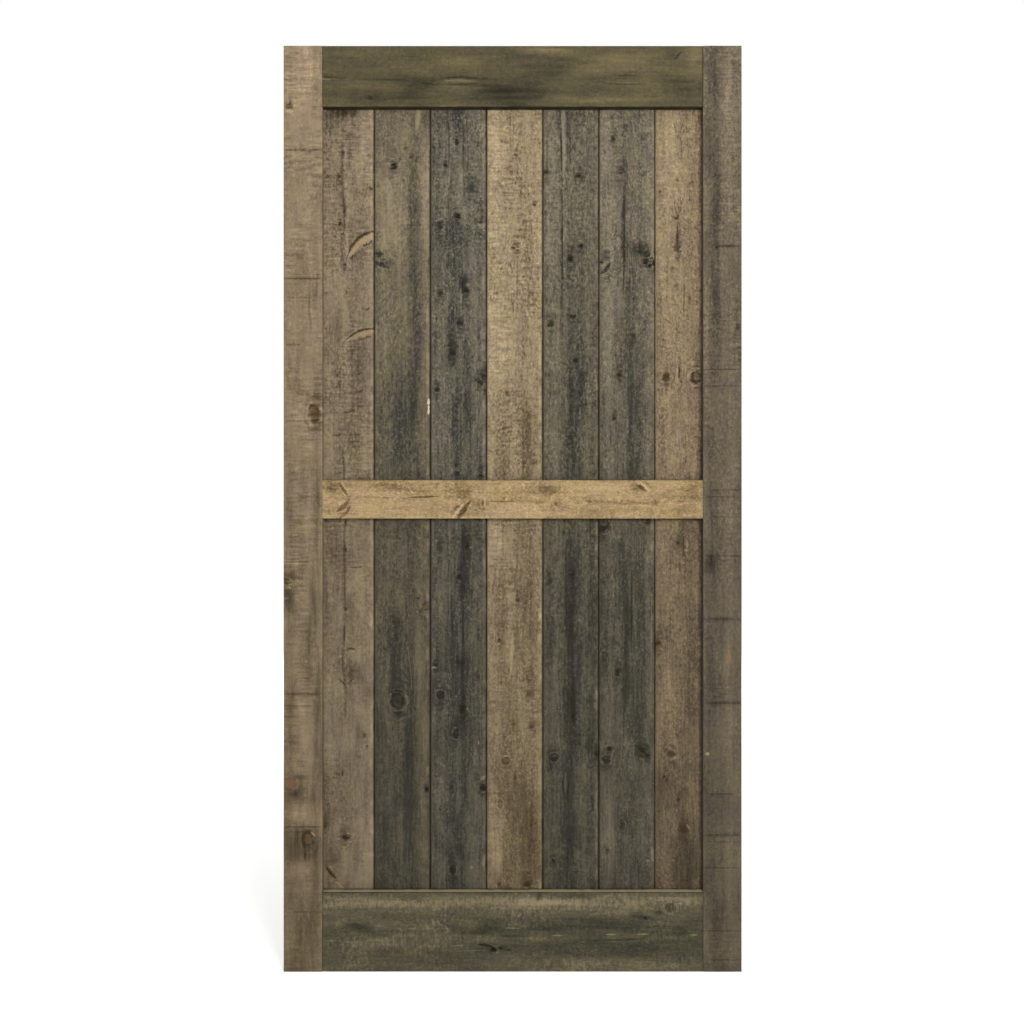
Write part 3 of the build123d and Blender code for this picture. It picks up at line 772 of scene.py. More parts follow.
def stain_and_shadow_field(board, x, z, depth_y, upright, seed):
    """Sum of the listed streaks and blotches of stain and of painted shadow: soft across, flatter along,
    with a wandering edge.
    """
    across_px, down_px, wide_px, high_px, change = table_of(STAINS_AND_SHADOWS, board, 5)
    px = px_at(depth_y)
    across, along = (x, z) if upright else (z, x)
    wander = lattice_noise(across / 0.05, along / 0.07, seed + 40) * WIDE_WANDER
    wander = wander + lattice_noise(across / 0.012, along / 0.02, seed + 41) * FINE_WANDER
    stain_x, stain_z = from_photo(across_px, down_px, depth_y)
    dx = (x + (wander if upright else 0))[..., None] - stain_x
    dz = (z + (0 if upright else wander))[..., None] - stain_z
    reach_x = np.abs(dx) / (wide_px * px)
    reach_z = np.abs(dz) / (high_px * px)
    power_x, power_z = (2, 3) if upright else (3, 2)
    weight = np.exp(-(reach_x ** power_x) - reach_z ** power_z)
    streaks = 1 + 0.5 * lattice_noise(across / 0.0046, along / 0.09, seed + 42)
    return STAIN_GAIN * streaks * (weight * change).sum(-1)


def kerf_field(board, x, z, depth_y):
    """Straight saw lines across the grain: a narrow ridge at each height, fading at its two ends."""
    down_px, from_px, to_px, cut = table_of(KERFS, board, 4)
    if not len(cut):
        return np.zeros_like(x)
    from_x, kerf_z = from_photo(from_px, down_px, depth_y)
    to_x, _ = from_photo(to_px, down_px, depth_y)
    line = np.clip(1 - np.abs(z[..., None] - kerf_z) / KERF_HALF_WIDTH, 0, 1)
    fade = smooth_step(*KERF_FADE, x[..., None] - from_x) * smooth_step(*KERF_FADE, to_x - x[..., None])
    return (line * fade * cut).max(-1)


def kerf_stations(board, depth_y):
    """Heights that give each saw line of a board a row of points at its bottom and one on each side."""
    down_px, from_px, _, _ = table_of(KERFS, board, 4)
    _, kerf_z = from_photo(from_px, down_px, depth_y)
    return np.add.outer(kerf_z, [-KERF_HALF_WIDTH, 0, KERF_HALF_WIDTH])


# Screws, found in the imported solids


def screw_places(node):
    """The X and Z of each screw head in a node: the middle of each group of points at the heads' height."""
    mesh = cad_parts[node].data
    points = np.empty(len(mesh.vertices) * 3)
    mesh.vertices.foreach_get("co", points)
    points = points.reshape(-1, 3)
    tops = points[points[:, 1] > points[:, 1].max() - SCREW_SINK / 3][:, [0, 2]]
    places = []
    while len(tops):
        same = np.hypot(*(tops - tops[0]).T) < 2.5 * SCREW_HEAD_RADIUS
        places.append((tops[same].min(0) + tops[same].max(0)) / 2)
        tops = tops[~same]
    return np.array(places)


all_screws = np.concatenate([screw_places(node) for node in SCREW_NODES])


# Meshes


def new_piece(name, points, quads, others=()):
    """A mesh object from whole arrays: points, four-cornered faces, and a few faces with more corners."""
    mesh = bpy.data.meshes.new(name)
    corners = np.concatenate([quads.ravel(), *[np.asarray(o) for o in others]]).astype(np.int32)
    sizes = np.concatenate([np.full(len(quads), 4), [len(o) for o in others]]).astype(np.int32)
    starts = np.concatenate([[0], np.cumsum(sizes)[:-1]]).astype(np.int32)
    mesh.vertices.add(len(points))
    mesh.vertices.foreach_set("co", points.astype(np.float32).ravel())
    mesh.loops.add(len(corners))
    mesh.loops.foreach_set("vertex_index", corners)
    mesh.polygons.add(len(sizes))
    mesh.polygons.foreach_set("loop_start", starts)
    mesh.update(calc_edges=True)
    mesh.validate()
    mesh.shade_smooth()
    mesh.set_sharp_from_angle(angle=SHARP_ANGLE)
    piece = bpy.data.objects.new(name, mesh)
    bpy.context.scene.collection.objects.link(piece)
    return piece


def add_attribute(piece, name, values, domain="POINT"):
    """Store one number or one vector for each point or face of a piece."""
    kind, key = ("FLOAT_VECTOR", "vector") if values.ndim == 2 else ("FLOAT", "value")
    attribute = piece.data.attributes.new(name, kind, domain)
    attribute.data.foreach_set(key, values.astype(np.float32).ravel())


def bake_map(board, columns):
    """Flat places of a board's corners: its skin in columns side by side, with the ends in a strip below.

    The front takes more of a column's width than its own share of the way round.
    """
    rows, sides = board["rows"], board["sides"]
    strip, margin, end_width = 0.06, 0.006, 0.46
    length = (board["stations"] - board["stations"][0]) / np.ptp(board["stations"])
    cuts = np.searchsorted(length, np.arange(1, columns) / columns)
    edges = np.concatenate([[0], cuts, [rows - 1]])

    row, side = np.divmod(np.arange((rows - 1) * sides), sides)
    column = np.searchsorted(cuts, row, side="right")
    low, high = length[edges[column]], length[edges[column + 1]]
    near = (length[row] - low) / (high - low)
    far = (length[row + 1] - low) / (high - low)
    turn, next_turn = board["round_share"][side], board["round_share"][side + 1]
    u = column[:, None] + margin + (1 - 2 * margin) * np.stack([turn, next_turn, next_turn, turn], 1)
    v = strip + margin + (1 - strip - 2 * margin) * np.stack([near, near, far, far], 1)
    skin = np.stack([u / columns, v], -1)

    section = board["section"]
    flat = (section - section.min(0)) / np.ptp(section, axis=0) * (end_width, 0.8 * strip)
    first_end = flat[::-1] + (0.02, 0.1 * strip)
    last_end = flat + (0.52, 0.1 * strip)
    if not board["upright"]:
        skin, first_end, last_end = skin[:, ::-1], first_end[::-1], last_end[::-1]
    return np.concatenate([skin.reshape(-1, 2), first_end, last_end])


def board_piece(name, section, stations, upright, depth_y, seed, front_count):
    """A board: its section carried along its length, with relief on its face, and closed by flat ends."""
    sides = len(section)
    rows = len(stations)
    across, along = np.meshgrid(section[:, 0], stations)
    x = (across if upright else along).copy()
    z = (along if upright else across).copy()

    knot, knot_look = knot_field(name, x, z, depth_y, upright)
    tear, tear_look = tear_field(name, x, z, depth_y)
    kerf = kerf_field(name, x, z, depth_y)
    stain_and_shade = stain_and_shadow_field(name, x, z, depth_y, upright, seed)
    finish = BOARD_FINISHES[name]
    # Painted shade: foot darkens towards the bottom, lean towards the right
    stain_and_shade += finish.get("foot", 0.0) * (0.5 - z / cad_high.z) + finish.get("lean", 0.0) * x / cad_high.x

    on_face = np.zeros(sides)
    on_face[:front_count] = 1
    step = np.hypot(*np.diff(section, axis=0, append=section[:1]).T)
    round_length = np.concatenate([[0], np.cumsum(step)])
    map_width = np.concatenate([[0], np.cumsum(step * (1 + 2 * on_face))])
    bend = grain_bend(name, x, z, depth_y, upright)
    grain = np.stack([round_length[:-1] + bend, along, np.full_like(along, seed * 7.3)], -1)

    core = knot[..., 2] * smooth_step(1.1, 0.5, np.hypot(knot[..., 0], knot[..., 1])) * knot_look[..., 0]
    hollow = tear[..., 2] * smooth_step(1.2, 0.3, np.abs(tear[..., 1]) + tear[..., 0] ** 2)
    drift = lattice_noise(across / 0.08, along / 0.2, seed)
    wave = 0.5 + 0.5 * np.sin(2 * pi * (along / SAW_WAVE_PITCH + drift))
    wave = wave * (0.5 + 0.5 * lattice_noise(across / 0.3, along / 0.35, seed + 1))
    fuzz = 0.5 + 0.5 * lattice_noise(across / 0.004, along / 0.012, seed + 2)
    relief = SAW_WAVE_DEPTH * wave + FUZZ_DEPTH * fuzz
    relief = relief + KNOT_DEPTH * core + TEAR_DEPTH * hollow + KERF_DEPTH * kerf
    depth = section[:, 1] + relief * on_face

    worn = 0.5 + 0.5 * lattice_noise(across / 0.02, along / 0.016, seed + 3)
    worn = worn * (0.6 + 0.4 * lattice_noise(across / 0.05, along / 0.09, seed + 4))
    arris = np.zeros(sides)
    arris[[0, front_count - 1]] = 1
    depth = depth + ARRIS_WEAR * np.clip(worn, 0, 1) * arris

    behind_frame = depth_y == SEAT_Y
    if behind_frame:
        chip = np.clip(lattice_noise(across / 0.02, along / 0.009, seed + 5), 0, 1)
        chip = ARRIS_CHIP * chip * (0.5 + 0.5 * lattice_noise(across / 0.05, along / 0.06, seed + 6))
        x[:, 0] += chip[:, 0]
        x[:, front_count - 1] -= chip[:, front_count - 1]

    return dict(
        name=name, x=x, y=depth, z=z, rows=rows, sides=sides, upright=upright, grain=grain, knot=knot,
        knot_look=knot_look, tear=tear, tear_look=tear_look, kerf=kerf, stain_and_shade=stain_and_shade, worn=worn,
        section=section, stations=stations, round_share=map_width / map_width[-1],
    )


def press_countersinks(board, places):
    """Draw the back's square rings of points round each screw in to circles, and sink them to its seat."""
    outer, inner = 1.6 * COUNTERSINK_RADIUS, 1.1 * COUNTERSINK_RADIUS
    back = board["y"] > BACK_Y - TOUCHING
    for place_x, place_z in places:
        dx = board["x"] - place_x
        dz = board["z"] - place_z
        ring = np.maximum(np.abs(dx), np.abs(dz))
        inside = back & (ring < outer) & (ring > 0)
        pull = smooth_step(outer, inner, ring[inside])
        factor = 1 + (ring[inside] / np.hypot(dx[inside], dz[inside]) - 1) * pull
        board["x"][inside] = place_x + dx[inside] * factor
        board["z"][inside] = place_z + dz[inside] * factor
        board["y"] -= np.where(back, np.clip(COUNTERSINK_RADIUS - ring, 0, COUNTERSINK_DEPTH), 0)


def finish_board(board, columns, shade_and_grime, wear_and_highlight):
    """Turn a board's arrays into a mesh piece with its attributes and its map."""
    rows, sides = board["rows"], board["sides"]
    points = np.stack([board["x"], board["y"], board["z"]], -1).reshape(-1, 3)
    row, side = np.divmod(np.arange((rows - 1) * sides), sides)
    after = (side + 1) % sides
    here = row * sides
    above = here + sides
    quads = np.stack([here + side, here + after, above + after, above + side], 1)
    first_end = np.arange(sides)[::-1]
    last_end = np.arange(sides) + (rows - 1) * sides
    if not board["upright"]:
        quads = quads[:, ::-1]
        first_end = first_end[::-1]
        last_end = last_end[::-1]
    piece = new_piece(board["name"] + "_wood", points, quads, [first_end, last_end])

    for key in ("grain", "knot", "knot_look", "tear", "tear_look"):
        add_attribute(piece, key, board[key].reshape(-1, 3))
    for key in ("kerf", "stain_and_shade"):
        add_attribute(piece, key, board[key].ravel())
    patchy = 0.76 + 0.24 * lattice_noise(board["x"] / 0.02, board["z"] / 0.02, 90)
    broken = np.clip(board["worn"], 0.25, 1) ** 2
    add_attribute(piece, "shade_and_grime", (np.broadcast_to(shade_and_grime, (rows, sides)) * patchy).ravel())
    add_attribute(piece, "wear_and_highlight", (np.broadcast_to(wear_and_highlight, (rows, sides)) * broken).ravel())
    end_grain = np.zeros(len(quads) + 2)
    end_grain[-2:] = 1
    add_attribute(piece, "end_grain", end_grain, "FACE")
    layer = piece.data.uv_layers.new(name="OFBake")
    layer.data.foreach_set("uv", bake_map(board, columns).astype(np.float32).ravel())
    return piece


# Materials


def linear(colour):
    """A colour written in sRGB, 0 to 255, as the linear values that shaders take, with alpha 1."""
    share = np.asarray(colour, float) / 255
    value = np.where(share <= 0.04045, share / 12.92, ((share + 0.055) / 1.055) ** 2.4)
    return (*value, 1.0)


class Recipe:
    """Adds the nodes of one material or world, each linked to what feeds it."""

    def __init__(self, owner):
        owner.use_nodes = True
        self.owner = owner
        self.tree = owner.node_tree
        self.tree.nodes.clear()

    def node(self, kind, inputs=(), **settings):
        made = self.tree.nodes.new(kind)
        for key, value in settings.items():
            setattr(made, key, value)
        for key, value in dict(inputs).items():
            self.feed(made.inputs[key], value)
        return made

    def feed(self, socket, value):
        if isinstance(value, bpy.types.NodeSocket):
            self.tree.links.new(value, socket)
        else:
            socket.default_value = value

    def number(self, name):
        return self.node("ShaderNodeAttribute", attribute_name=name).outputs["Fac"]

    def vector(self, name):
        return self.node("ShaderNodeAttribute", attribute_name=name).outputs["Vector"]

    def place(self):
        return self.node("ShaderNodeTexCoord").outputs["Object"]

    def parts(self, vector):
        return self.node("ShaderNodeSeparateXYZ", {"Vector": vector}).outputs

    def math(self, operation, first, second=0.0, third=0.0):
        inputs = {0: first, 1: second, 2: third}
        return self.node("ShaderNodeMath", inputs, operation=operation).outputs[0]

    def times(self, first, second):
        """One value multiplied by another."""
        return self.math("MULTIPLY", first, second)

    def less(self, first, second):
        return self.math("SUBTRACT", first, second)

    def plus(self, base, field, amount):
        """The base with this amount of a field added."""
        return self.math("MULTIPLY_ADD", field, amount, base)

    def size(self, value):
        """A value without its sign."""
        return self.math("ABSOLUTE", value)

    def vectors(self, operation, first, second=(0.0, 0.0, 0.0)):
        return self.node("ShaderNodeVectorMath", {0: first, 1: second}, operation=operation).outputs

    def ramp(self, value, low, high, to_low=0.0, to_high=1.0, kind="SMOOTHSTEP"):
        inputs = {"Value": value, "From Min": low, "From Max": high, "To Min": to_low, "To Max": to_high}
        return self.node("ShaderNodeMapRange", inputs, interpolation_type=kind).outputs["Result"]

    def noise(self, vector, across, along, detail, roughness, shift=0.0):
        scaled = self.vectors("MULTIPLY", vector, (1 / across, 1 / along, 1.0))["Vector"]
        moved = self.vectors("ADD", scaled, (shift, shift, shift))["Vector"]
        inputs = {"Vector": moved, "Scale": 1.0, "Detail": detail, "Roughness": roughness}
        return self.node("ShaderNodeTexNoise", inputs).outputs["Fac"]

    def mix(self, share, first, second, blend="MIX"):
        inputs = {"Factor": share, 6: first, 7: second}
        return self.node("ShaderNodeMix", inputs, data_type="RGBA", blend_type=blend).outputs[2]

    def colours(self, value, stops):
        made = self.node("ShaderNodeValToRGB", {"Fac": value})
        elements = made.color_ramp.elements
        while len(elements) < len(stops):
            elements.new(0.5)
        for element, (place, colour) in zip(elements, stops):
            element.position = place
            element.color = linear(colour)
        return made.outputs["Color"]

    def seen(self):
        """1 on the rays of the camera, of mirrors and of glass, and 0 on the rays that carry light."""
        rays = self.node("ShaderNodeLightPath").outputs
        mirrored = self.math("MAXIMUM", rays["Is Glossy Ray"], rays["Is Transmission Ray"])
        return self.math("MAXIMUM", rays["Is Camera Ray"], mirrored)

    def surface(self, shader, output="ShaderNodeOutputMaterial"):
        """Show a shader on the material or world, and give that back."""
        self.node(output, {"Surface": shader.outputs[0]})
        return self.owner

    def finish(self, sockets):
        return self.surface(self.node("ShaderNodeBsdfPrincipled", sockets))


# Patterns in the wood: size across and along the grain in metres, detail, roughness, and a shift of its own
PATTERNS = {
    "band": (0.026, 1.6, 2.0, 0.5, 0.0),
    "streak": (0.0046, 0.075, 3.0, 0.6, 3.1),
    "blotch": (0.030, 0.13, 1.0, 0.5, 18.3),
    "fibre": (0.0041, 0.0064, 1.0, 0.5, 6.7),
    "speckle": (0.0076, 0.0135, 2.0, 0.5, 9.4),
    "fleck": (0.0048, 0.0058, 1.0, 0.5, 11.3),
    "pit": (0.0048, 0.0080, 1.0, 0.5, 27.9),
    "rough_place": (0.05, 0.11, 2.0, 0.5, 31.7),
    "hatch_place": (0.06, 0.12, 1.0, 0.5, 15.9),
    "patch": (0.030, 0.075, 3.0, 0.6, 51.7),
    "knot_chip": (0.0075, 0.0075, 1.0, 0.5, 44.1),
    "knot_break": (0.010, 0.012, 1.0, 0.5, 41.3),
}
HATCH_LENGTH = 0.028
HATCH_WIDTH = 0.0056

# Patterns that fray the knots and tears, on the grain turned aside by this angle
FRAY_TURN = 0.6
FRAYS = {
    "ragged": (0.0050, 0.0056, 3.0, 0.65, 22.5),
    "lobes": (0.011, 0.013, 1.0, 0.5, 63.4),
    "bite": (0.0070, 0.0072, 2.0, 0.6, 71.3),
}

# Rings round a knot: how far out and how wide, in its half widths, and how much paler or darker
KNOT_RINGS = ((0.95, 0.36, -0.60), (1.45, 0.34, 0.16), (1.95, 0.36, -0.14))

# Tones of a stain's five colours, and what its ends multiply: the deep colour and the pale colour
TONE_STOPS = (-0.3, 0.12, 0.5, 0.9, 1.3)
DARKEST = (0.64, 0.60, 0.52)
PALEST = 1.16


def saw_hatch(r, grain, finish, fields):
    """Short lines across the grain, about 0: they show in places, most on pale stain and least on dark."""
    hatch = r.noise(grain, finish.get("hatch_length", HATCH_LENGTH), HATCH_WIDTH, 2.0, 0.5, 12.2)
    stain_and_shade = r.number("stain_and_shade")
    shown = r.ramp(fields["hatch_place"], 0.42, 0.62, 0.15, 1.0)
    shown = r.math("MAXIMUM", shown, r.ramp(stain_and_shade, 0.06, 0.22))
    shown = r.times(shown, r.ramp(stain_and_shade, -0.30, 0.0, 0.35, 1.0))
    return r.times(r.less(hatch, 0.5), shown)


def plain_tone(r, finish, fields, saw):
    """The tone of plain wood: its stain and painted shade plus each pattern's amount, with more texture
    towards the top.
    """
    tone = r.math("ADD", r.number("stain_and_shade"), 0.455)
    for key, amount in (("band", 0.85), ("streak", 0.80), ("blotch", 0.65)):
        tone = r.plus(tone, r.less(fields[key], 0.5), amount * finish[key])
    texture = r.times(r.less(fields["fibre"], 0.5), 1.05)
    texture = r.plus(texture, r.less(fields["speckle"], 0.5), 0.95)
    texture = r.plus(texture, r.ramp(fields["fleck"], 0.58, 0.76), 0.48)
    texture = r.plus(texture, r.ramp(fields["pit"], 0.40, 0.25), -0.14)
    rough_place = r.ramp(fields["rough_place"], 0.30, 0.70, 0.7, 1.15)
    texture = r.times(r.times(texture, rough_place), finish["speckle"])
    texture = r.plus(texture, saw, 1.3 * finish["hatch"])
    strength = r.ramp(r.parts(r.place())["Z"], 0.0, cad_high.z, 0.53, 1.12)
    tone = r.plus(tone, texture, strength)
    # The saw grooves darkened: painted shade in them
    tone = r.plus(tone, r.number("kerf"), -0.68)
    # Worn edges and painted highlights made paler
    return r.plus(tone, r.number("wear_and_highlight"), 0.5)


def knot_marks(r, tone, finish, fields, ragged):
    """The tone with the knots' smoke, lips and rings, and each knot's dark core and brown heart.

    All are ramps over the distance from the knot's middle in half widths, frayed by the patterns.
    """
    knot_u, knot_v, near = r.parts(r.vector("knot"))
    dark, rings, brown = r.parts(r.vector("knot_look"))
    shape = r.plus(ragged, r.less(fields["lobes"], 0.5), 0.6)
    square = r.plus(r.times(knot_v, knot_v), knot_u, knot_u)
    away = r.plus(r.math("SQRT", square), shape, r.plus(1.8, rings, -0.9))
    near_dark = r.times(near, dark)
    core = r.times(r.ramp(away, 1.25, 0.35), r.times(near_dark, 1.25))
    core = r.times(r.math("MINIMUM", core, 1.0), r.ramp(fields["bite"], 0.36, 0.58, 0.45, 1.0))

    beside, lengthwise = (knot_v, knot_u) if finish["slot"].startswith("rail") else (knot_u, knot_v)
    drawn_out = r.times(lengthwise, 0.38)
    long_square = r.plus(r.times(drawn_out, drawn_out), beside, beside)
    smoke = r.ramp(r.plus(r.math("SQRT", long_square), shape, 1.4), 2.2, 0.2)
    tone = r.plus(tone, r.times(smoke, near_dark), -0.28)
    lip = r.times(r.ramp(r.size(r.less(away, 1.4)), 0.45, 0.1), r.ramp(fields["knot_chip"], 0.56, 0.68))
    tone = r.plus(tone, r.times(lip, near_dark), 0.5)

    ringed = r.times(r.times(rings, near), r.ramp(fields["knot_break"], 0.38, 0.58, 0.2, 1.0))
    for ring_away, ring_width, change in KNOT_RINGS:
        ring = r.ramp(r.size(r.less(away, ring_away)), ring_width, 0.05)
        tone = r.plus(tone, r.times(ring, ringed), change)
    heart = r.times(r.times(r.ramp(away, 0.95, 0.5), near), brown)
    return tone, core, heart


def tear_marks(r, tone, ragged):
    """The tone with the tears' dark rims and slits, and where they lay the wood bare or leave rust.

    A tear is widest at its middle: the distance from its line counts with the square of the run along it.
    """
    run, side, near = r.parts(r.vector("tear"))
    bare, rim, rust = r.parts(r.vector("tear_look"))
    end_pull = r.times(run, run)
    width = r.plus(r.size(side), ragged, 0.9)
    opened = r.times(r.ramp(r.math("ADD", width, end_pull), 1.2, 0.7), near)
    edge = r.size(r.less(r.plus(side, ragged, 0.7), r.less(1.15, end_pull)))
    edge = r.times(r.ramp(r.plus(edge, end_pull, 0.4), 0.6, 0.15), near)
    tone = r.plus(tone, r.times(edge, rim), -0.9)
    tone = r.plus(tone, r.times(opened, r.math("MINIMUM", bare, 0.0)), 0.62)
    fibres = r.node("ShaderNodeCombineXYZ", {"X": run, "Y": r.times(side, 2.6)}).outputs[0]
    fibres = r.node("ShaderNodeTexNoise", {"Vector": fibres, "Scale": 1.3, "Detail": 2.0}).outputs["Fac"]
    bare = r.times(r.math("MAXIMUM", bare, 0.0), r.ramp(fibres, 0.3, 0.6, 0.25, 1.0))
    return tone, r.times(opened, bare), r.times(opened, rust)


def stain_colour(r, finish, tone, patch):
    """The stain's colour at this tone, cooler in its dark bands, with olive and rosy patches."""
    darkest = np.multiply(finish["deep"], DARKEST)
    palest = np.minimum(np.multiply(finish["pale"], PALEST), 255)
    colours = (darkest, finish["deep"], finish["body"], finish["pale"], palest)
    low = TONE_STOPS[0]
    span = TONE_STOPS[-1] - low
    stops = [((stop - low) / span, colour) for stop, colour in zip(TONE_STOPS, colours)]
    colour = r.colours(r.plus(-low / span, tone, 1 / span), stops)
    shade = r.ramp(r.number("stain_and_shade"), -0.03, -0.55, 0.0, finish.get("cool", 0.5))
    colour = r.mix(shade, colour, SHADE_TINT, "MULTIPLY")
    return r.mix(1.0, colour, r.mix(patch, OLIVE_TINT, ROSY_TINT), "MULTIPLY")


def year_rings(r, finish):
    """The colour of a sawn end: rings about an upright line through the door's middle."""
    level = r.vectors("MULTIPLY", r.place(), (1.0, 1.0, 0.0))["Vector"]
    rings = r.node(
        "ShaderNodeTexWave",
        {"Vector": level, "Scale": 60.0, "Distortion": 3.0, "Detail": 2.0, "Detail Scale": 1.5},
        wave_type="RINGS",
        rings_direction="Z",
    ).outputs["Fac"]
    return r.colours(rings, [(0.2, finish["deep"]), (0.8, finish["body"])])


def sawn_pine(name, finish):
    """Rough-sawn stained pine: patterns along the grain are summed to one tone, which picks the colour."""
    r = Recipe(bpy.data.materials.new(name))
    grain = r.vector("grain")
    turned = r.node("ShaderNodeVectorRotate", {"Vector": grain, "Angle": FRAY_TURN}).outputs[0]
    fields = {key: r.noise(grain, *pattern) for key, pattern in PATTERNS.items()}
    fields.update({key: r.noise(turned, *pattern) for key, pattern in FRAYS.items()})
    ragged = r.less(fields["ragged"], 0.5)
    patch = r.ramp(fields["patch"], 0.34, 0.66)

    saw = saw_hatch(r, grain, finish, fields)
    tone = plain_tone(r, finish, fields, saw)
    tone, core, heart = knot_marks(r, tone, finish, fields, ragged)
    tone, laid_bare, rusted = tear_marks(r, tone, ragged)
    tone = r.plus(tone, r.less(patch, 0.5), -0.10)

    # Pale bare wood from the tears, and from worn edges and painted highlights
    bare = r.math("MAXIMUM", laid_bare, r.ramp(r.number("wear_and_highlight"), 1.0, 2.6))
    colour = stain_colour(r, finish, tone, patch)
    for share, laid_over in (
        (r.times(bare, 0.8), finish.get("raw", RAW_WOOD)),
        (r.ramp(bare, 1.0, 1.7), FRESH_SPLINTER),
        (r.times(rusted, 0.9), RUST),
        (core, finish.get("knot", KNOT_DARK)),
        (r.times(heart, r.ramp(fields["speckle"], 0.3, 0.7, 0.35, 0.85)), KNOT_BROWN),
        # Painted shade in seams, corners, joints and undersides, and other darkened places
        (r.number("shade_and_grime"), SHADE_AND_GRIME_BROWN),
    ):
        colour = r.mix(share, colour, linear(laid_over))
    colour = r.mix(r.number("end_grain"), colour, year_rings(r, finish))

    height = r.plus(r.times(fields["fibre"], 0.6), fields["speckle"], 0.8)
    height = r.plus(height, saw, 0.5)
    bump = r.node("ShaderNodeBump", {"Height": height, "Strength": 0.35, "Distance": 0.0012})
    return r.finish({
        "Base Color": colour,
        "Roughness": r.ramp(tone, 0.1, 0.9, 0.78, 0.95),
        "Specular IOR Level": 0.12,
        "Normal": bump.outputs[0],
    })


def screw_steel():
    """Dark phosphate-coated steel, with lighter rubbed patches."""
    r = Recipe(bpy.data.materials.new("screw_steel"))
    rub = r.noise(r.place(), 0.0016, 0.0016, 3.0, 0.6)
    return r.finish({
        "Base Color": r.colours(rub, [(0.35, SCREW_STEEL), (0.75, SCREW_RUBBED)]),
        "Metallic": 0.85,
        "Roughness": r.ramp(rub, 0.3, 0.7, 0.55, 0.38),
    })


# The boards

# Painted shade on a plank: in its seams, on their bevels and at its right front corner; and a darkening on
# an outer side
SEAM_FILL = 0.85
BEVEL_FILL = 0.45
CORNER_FILL = (0.2, 0.75)
OUTER_FILL = 0.1
# What is left of the painted shade on the left bevel of a plank with a lighter seam
LIGHTER_SEAM_SHADE = {"plank_7": 0.35}
# How pale the rows of points up to a plank's right front corner are painted: worn wood, and a painted
# highlight where that edge faces the light
CORNER_WEAR_AND_HIGHLIGHT = (0.6, 1.6, 2.6, 1.2)
# How pale a frame board's eased edges are painted: most of them worn, one with a painted highlight where it
# catches the light, one worn bare with a painted highlight on the lit top of the bottom rail
EDGE_WEAR = 0.5
EDGE_HIGHLIGHT = 2.0
BARE_EDGE_AND_HIGHLIGHT = 30.0
# Painted shade in the butt joints at a rail's left and right end, and how far in it reaches
JOINT_SHADE = {"top_rail": (0.3, 0.75), "mid_rail": (0.1, 0.25), "bottom_rail": (0.6, 0.3)}
JOINT_SHADE_REACH = 0.0024


def ride_as(piece, node, material):
    """Put a finished piece in a solid's place, on the door's one body."""
    piece.data.materials.append(material)
    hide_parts(node)
    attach(piece, "root")


def corner_shade(x, z):
    """Painted shade on the planks along the frame's edges, where the stiles and rails stand in front of
    them: a bell over the distance from each edge.
    """
    top_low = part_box("top_rail")[0].z
    mid_low, mid_high = (corner.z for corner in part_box("mid_rail"))
    foot_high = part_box("bottom_rail")[1].z
    lines = (
        (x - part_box("left_stile")[1].x, 0.45, 0.0018),
        (top_low - z, 0.80, 0.0018),
        (z - mid_high, 0.45, 0.0060),
        (z - mid_high, 0.85, 0.0024),
        (mid_low - z, 0.55, 0.0022),
        (z - foot_high, 0.80, 0.0034),
        (z - foot_high, 0.25, 0.0100),
    )
    shade_and_grime = np.zeros_like(x)
    for away, amount, reach in lines:
        shade_and_grime = np.maximum(shade_and_grime, amount * np.exp(-((np.clip(away, -reach, None) / reach) ** 2)))
    return shade_and_grime


def make_plank(name, seed, grooved, tongued):
    """One tongue-and-groove plank, with its face towards -Y and its screws in the back."""
    low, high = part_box(name)
    face_low = low.x
    face_high = high.x - (TONGUE_LENGTH if tongued else 0.0)
    own = all_screws[(all_screws[:, 0] > face_low) & (all_screws[:, 0] < face_high)]
    shown = grooved and tongued
    front_step = ACROSS_STEP if shown else HIDDEN_STEP
    section = plank_section(face_low, face_high, grooved, tongued, own[:, 0], front_step)
    rail_edges = [corner.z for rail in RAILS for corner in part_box(rail)]
    extra = (screw_stations(own[:, 1]), kerf_stations(name, SEAT_Y), corner_stations(rail_edges))
    extra = np.concatenate([np.ravel(heights) for heights in extra])
    stations = spread(low.z, high.z, ALONG_STEP if shown else HIDDEN_STEP, extra)
    front_count = int(np.argmax(section[:, 1] > SEAT_Y + TOUCHING))
    board = board_piece(name, section, stations, True, SEAT_Y, seed, front_count)
    press_countersinks(board, own)

    shade_and_grime = np.zeros(len(section))
    pale = np.zeros(len(section))
    behind_face = section[:, 1] > SEAT_Y + TOUCHING
    # Painted shade in the seams and on their bevels
    shade_and_grime[behind_face & (section[:, 1] < BACK_Y - 2 * BACK_BEVEL)] = SEAM_FILL
    shade_and_grime[behind_face & (section[:, 1] < SEAT_Y + 0.6 * SEAM_BEVEL)] = BEVEL_FILL
    if shown:
        # Painted shade at the right front corner, and a painted highlight with wear on the rows before it
        shade_and_grime[front_count - 1:front_count + 1] = CORNER_FILL
        pale[front_count - len(CORNER_WEAR_AND_HIGHLIGHT):front_count] = CORNER_WEAR_AND_HIGHLIGHT
    else:
        outer_side = face_high if grooved else face_low
        shade_and_grime[np.abs(section[:, 0] - outer_side) < TOUCHING] = OUTER_FILL
    # Painted shade along the frame's edges, on the plank's front
    shade_and_grime = np.maximum(shade_and_grime, corner_shade(board["x"], board["z"]) * (board["y"] < SEAT_Y + SEAM_BEVEL))
    shade_and_grime[..., -2:] *= LIGHTER_SEAM_SHADE.get(name, 1.0)
    piece = finish_board(board, 3, shade_and_grime, pale)
    finish = BOARD_FINISHES[name]
    ride_as(piece, name, sawn_pine(name, finish))


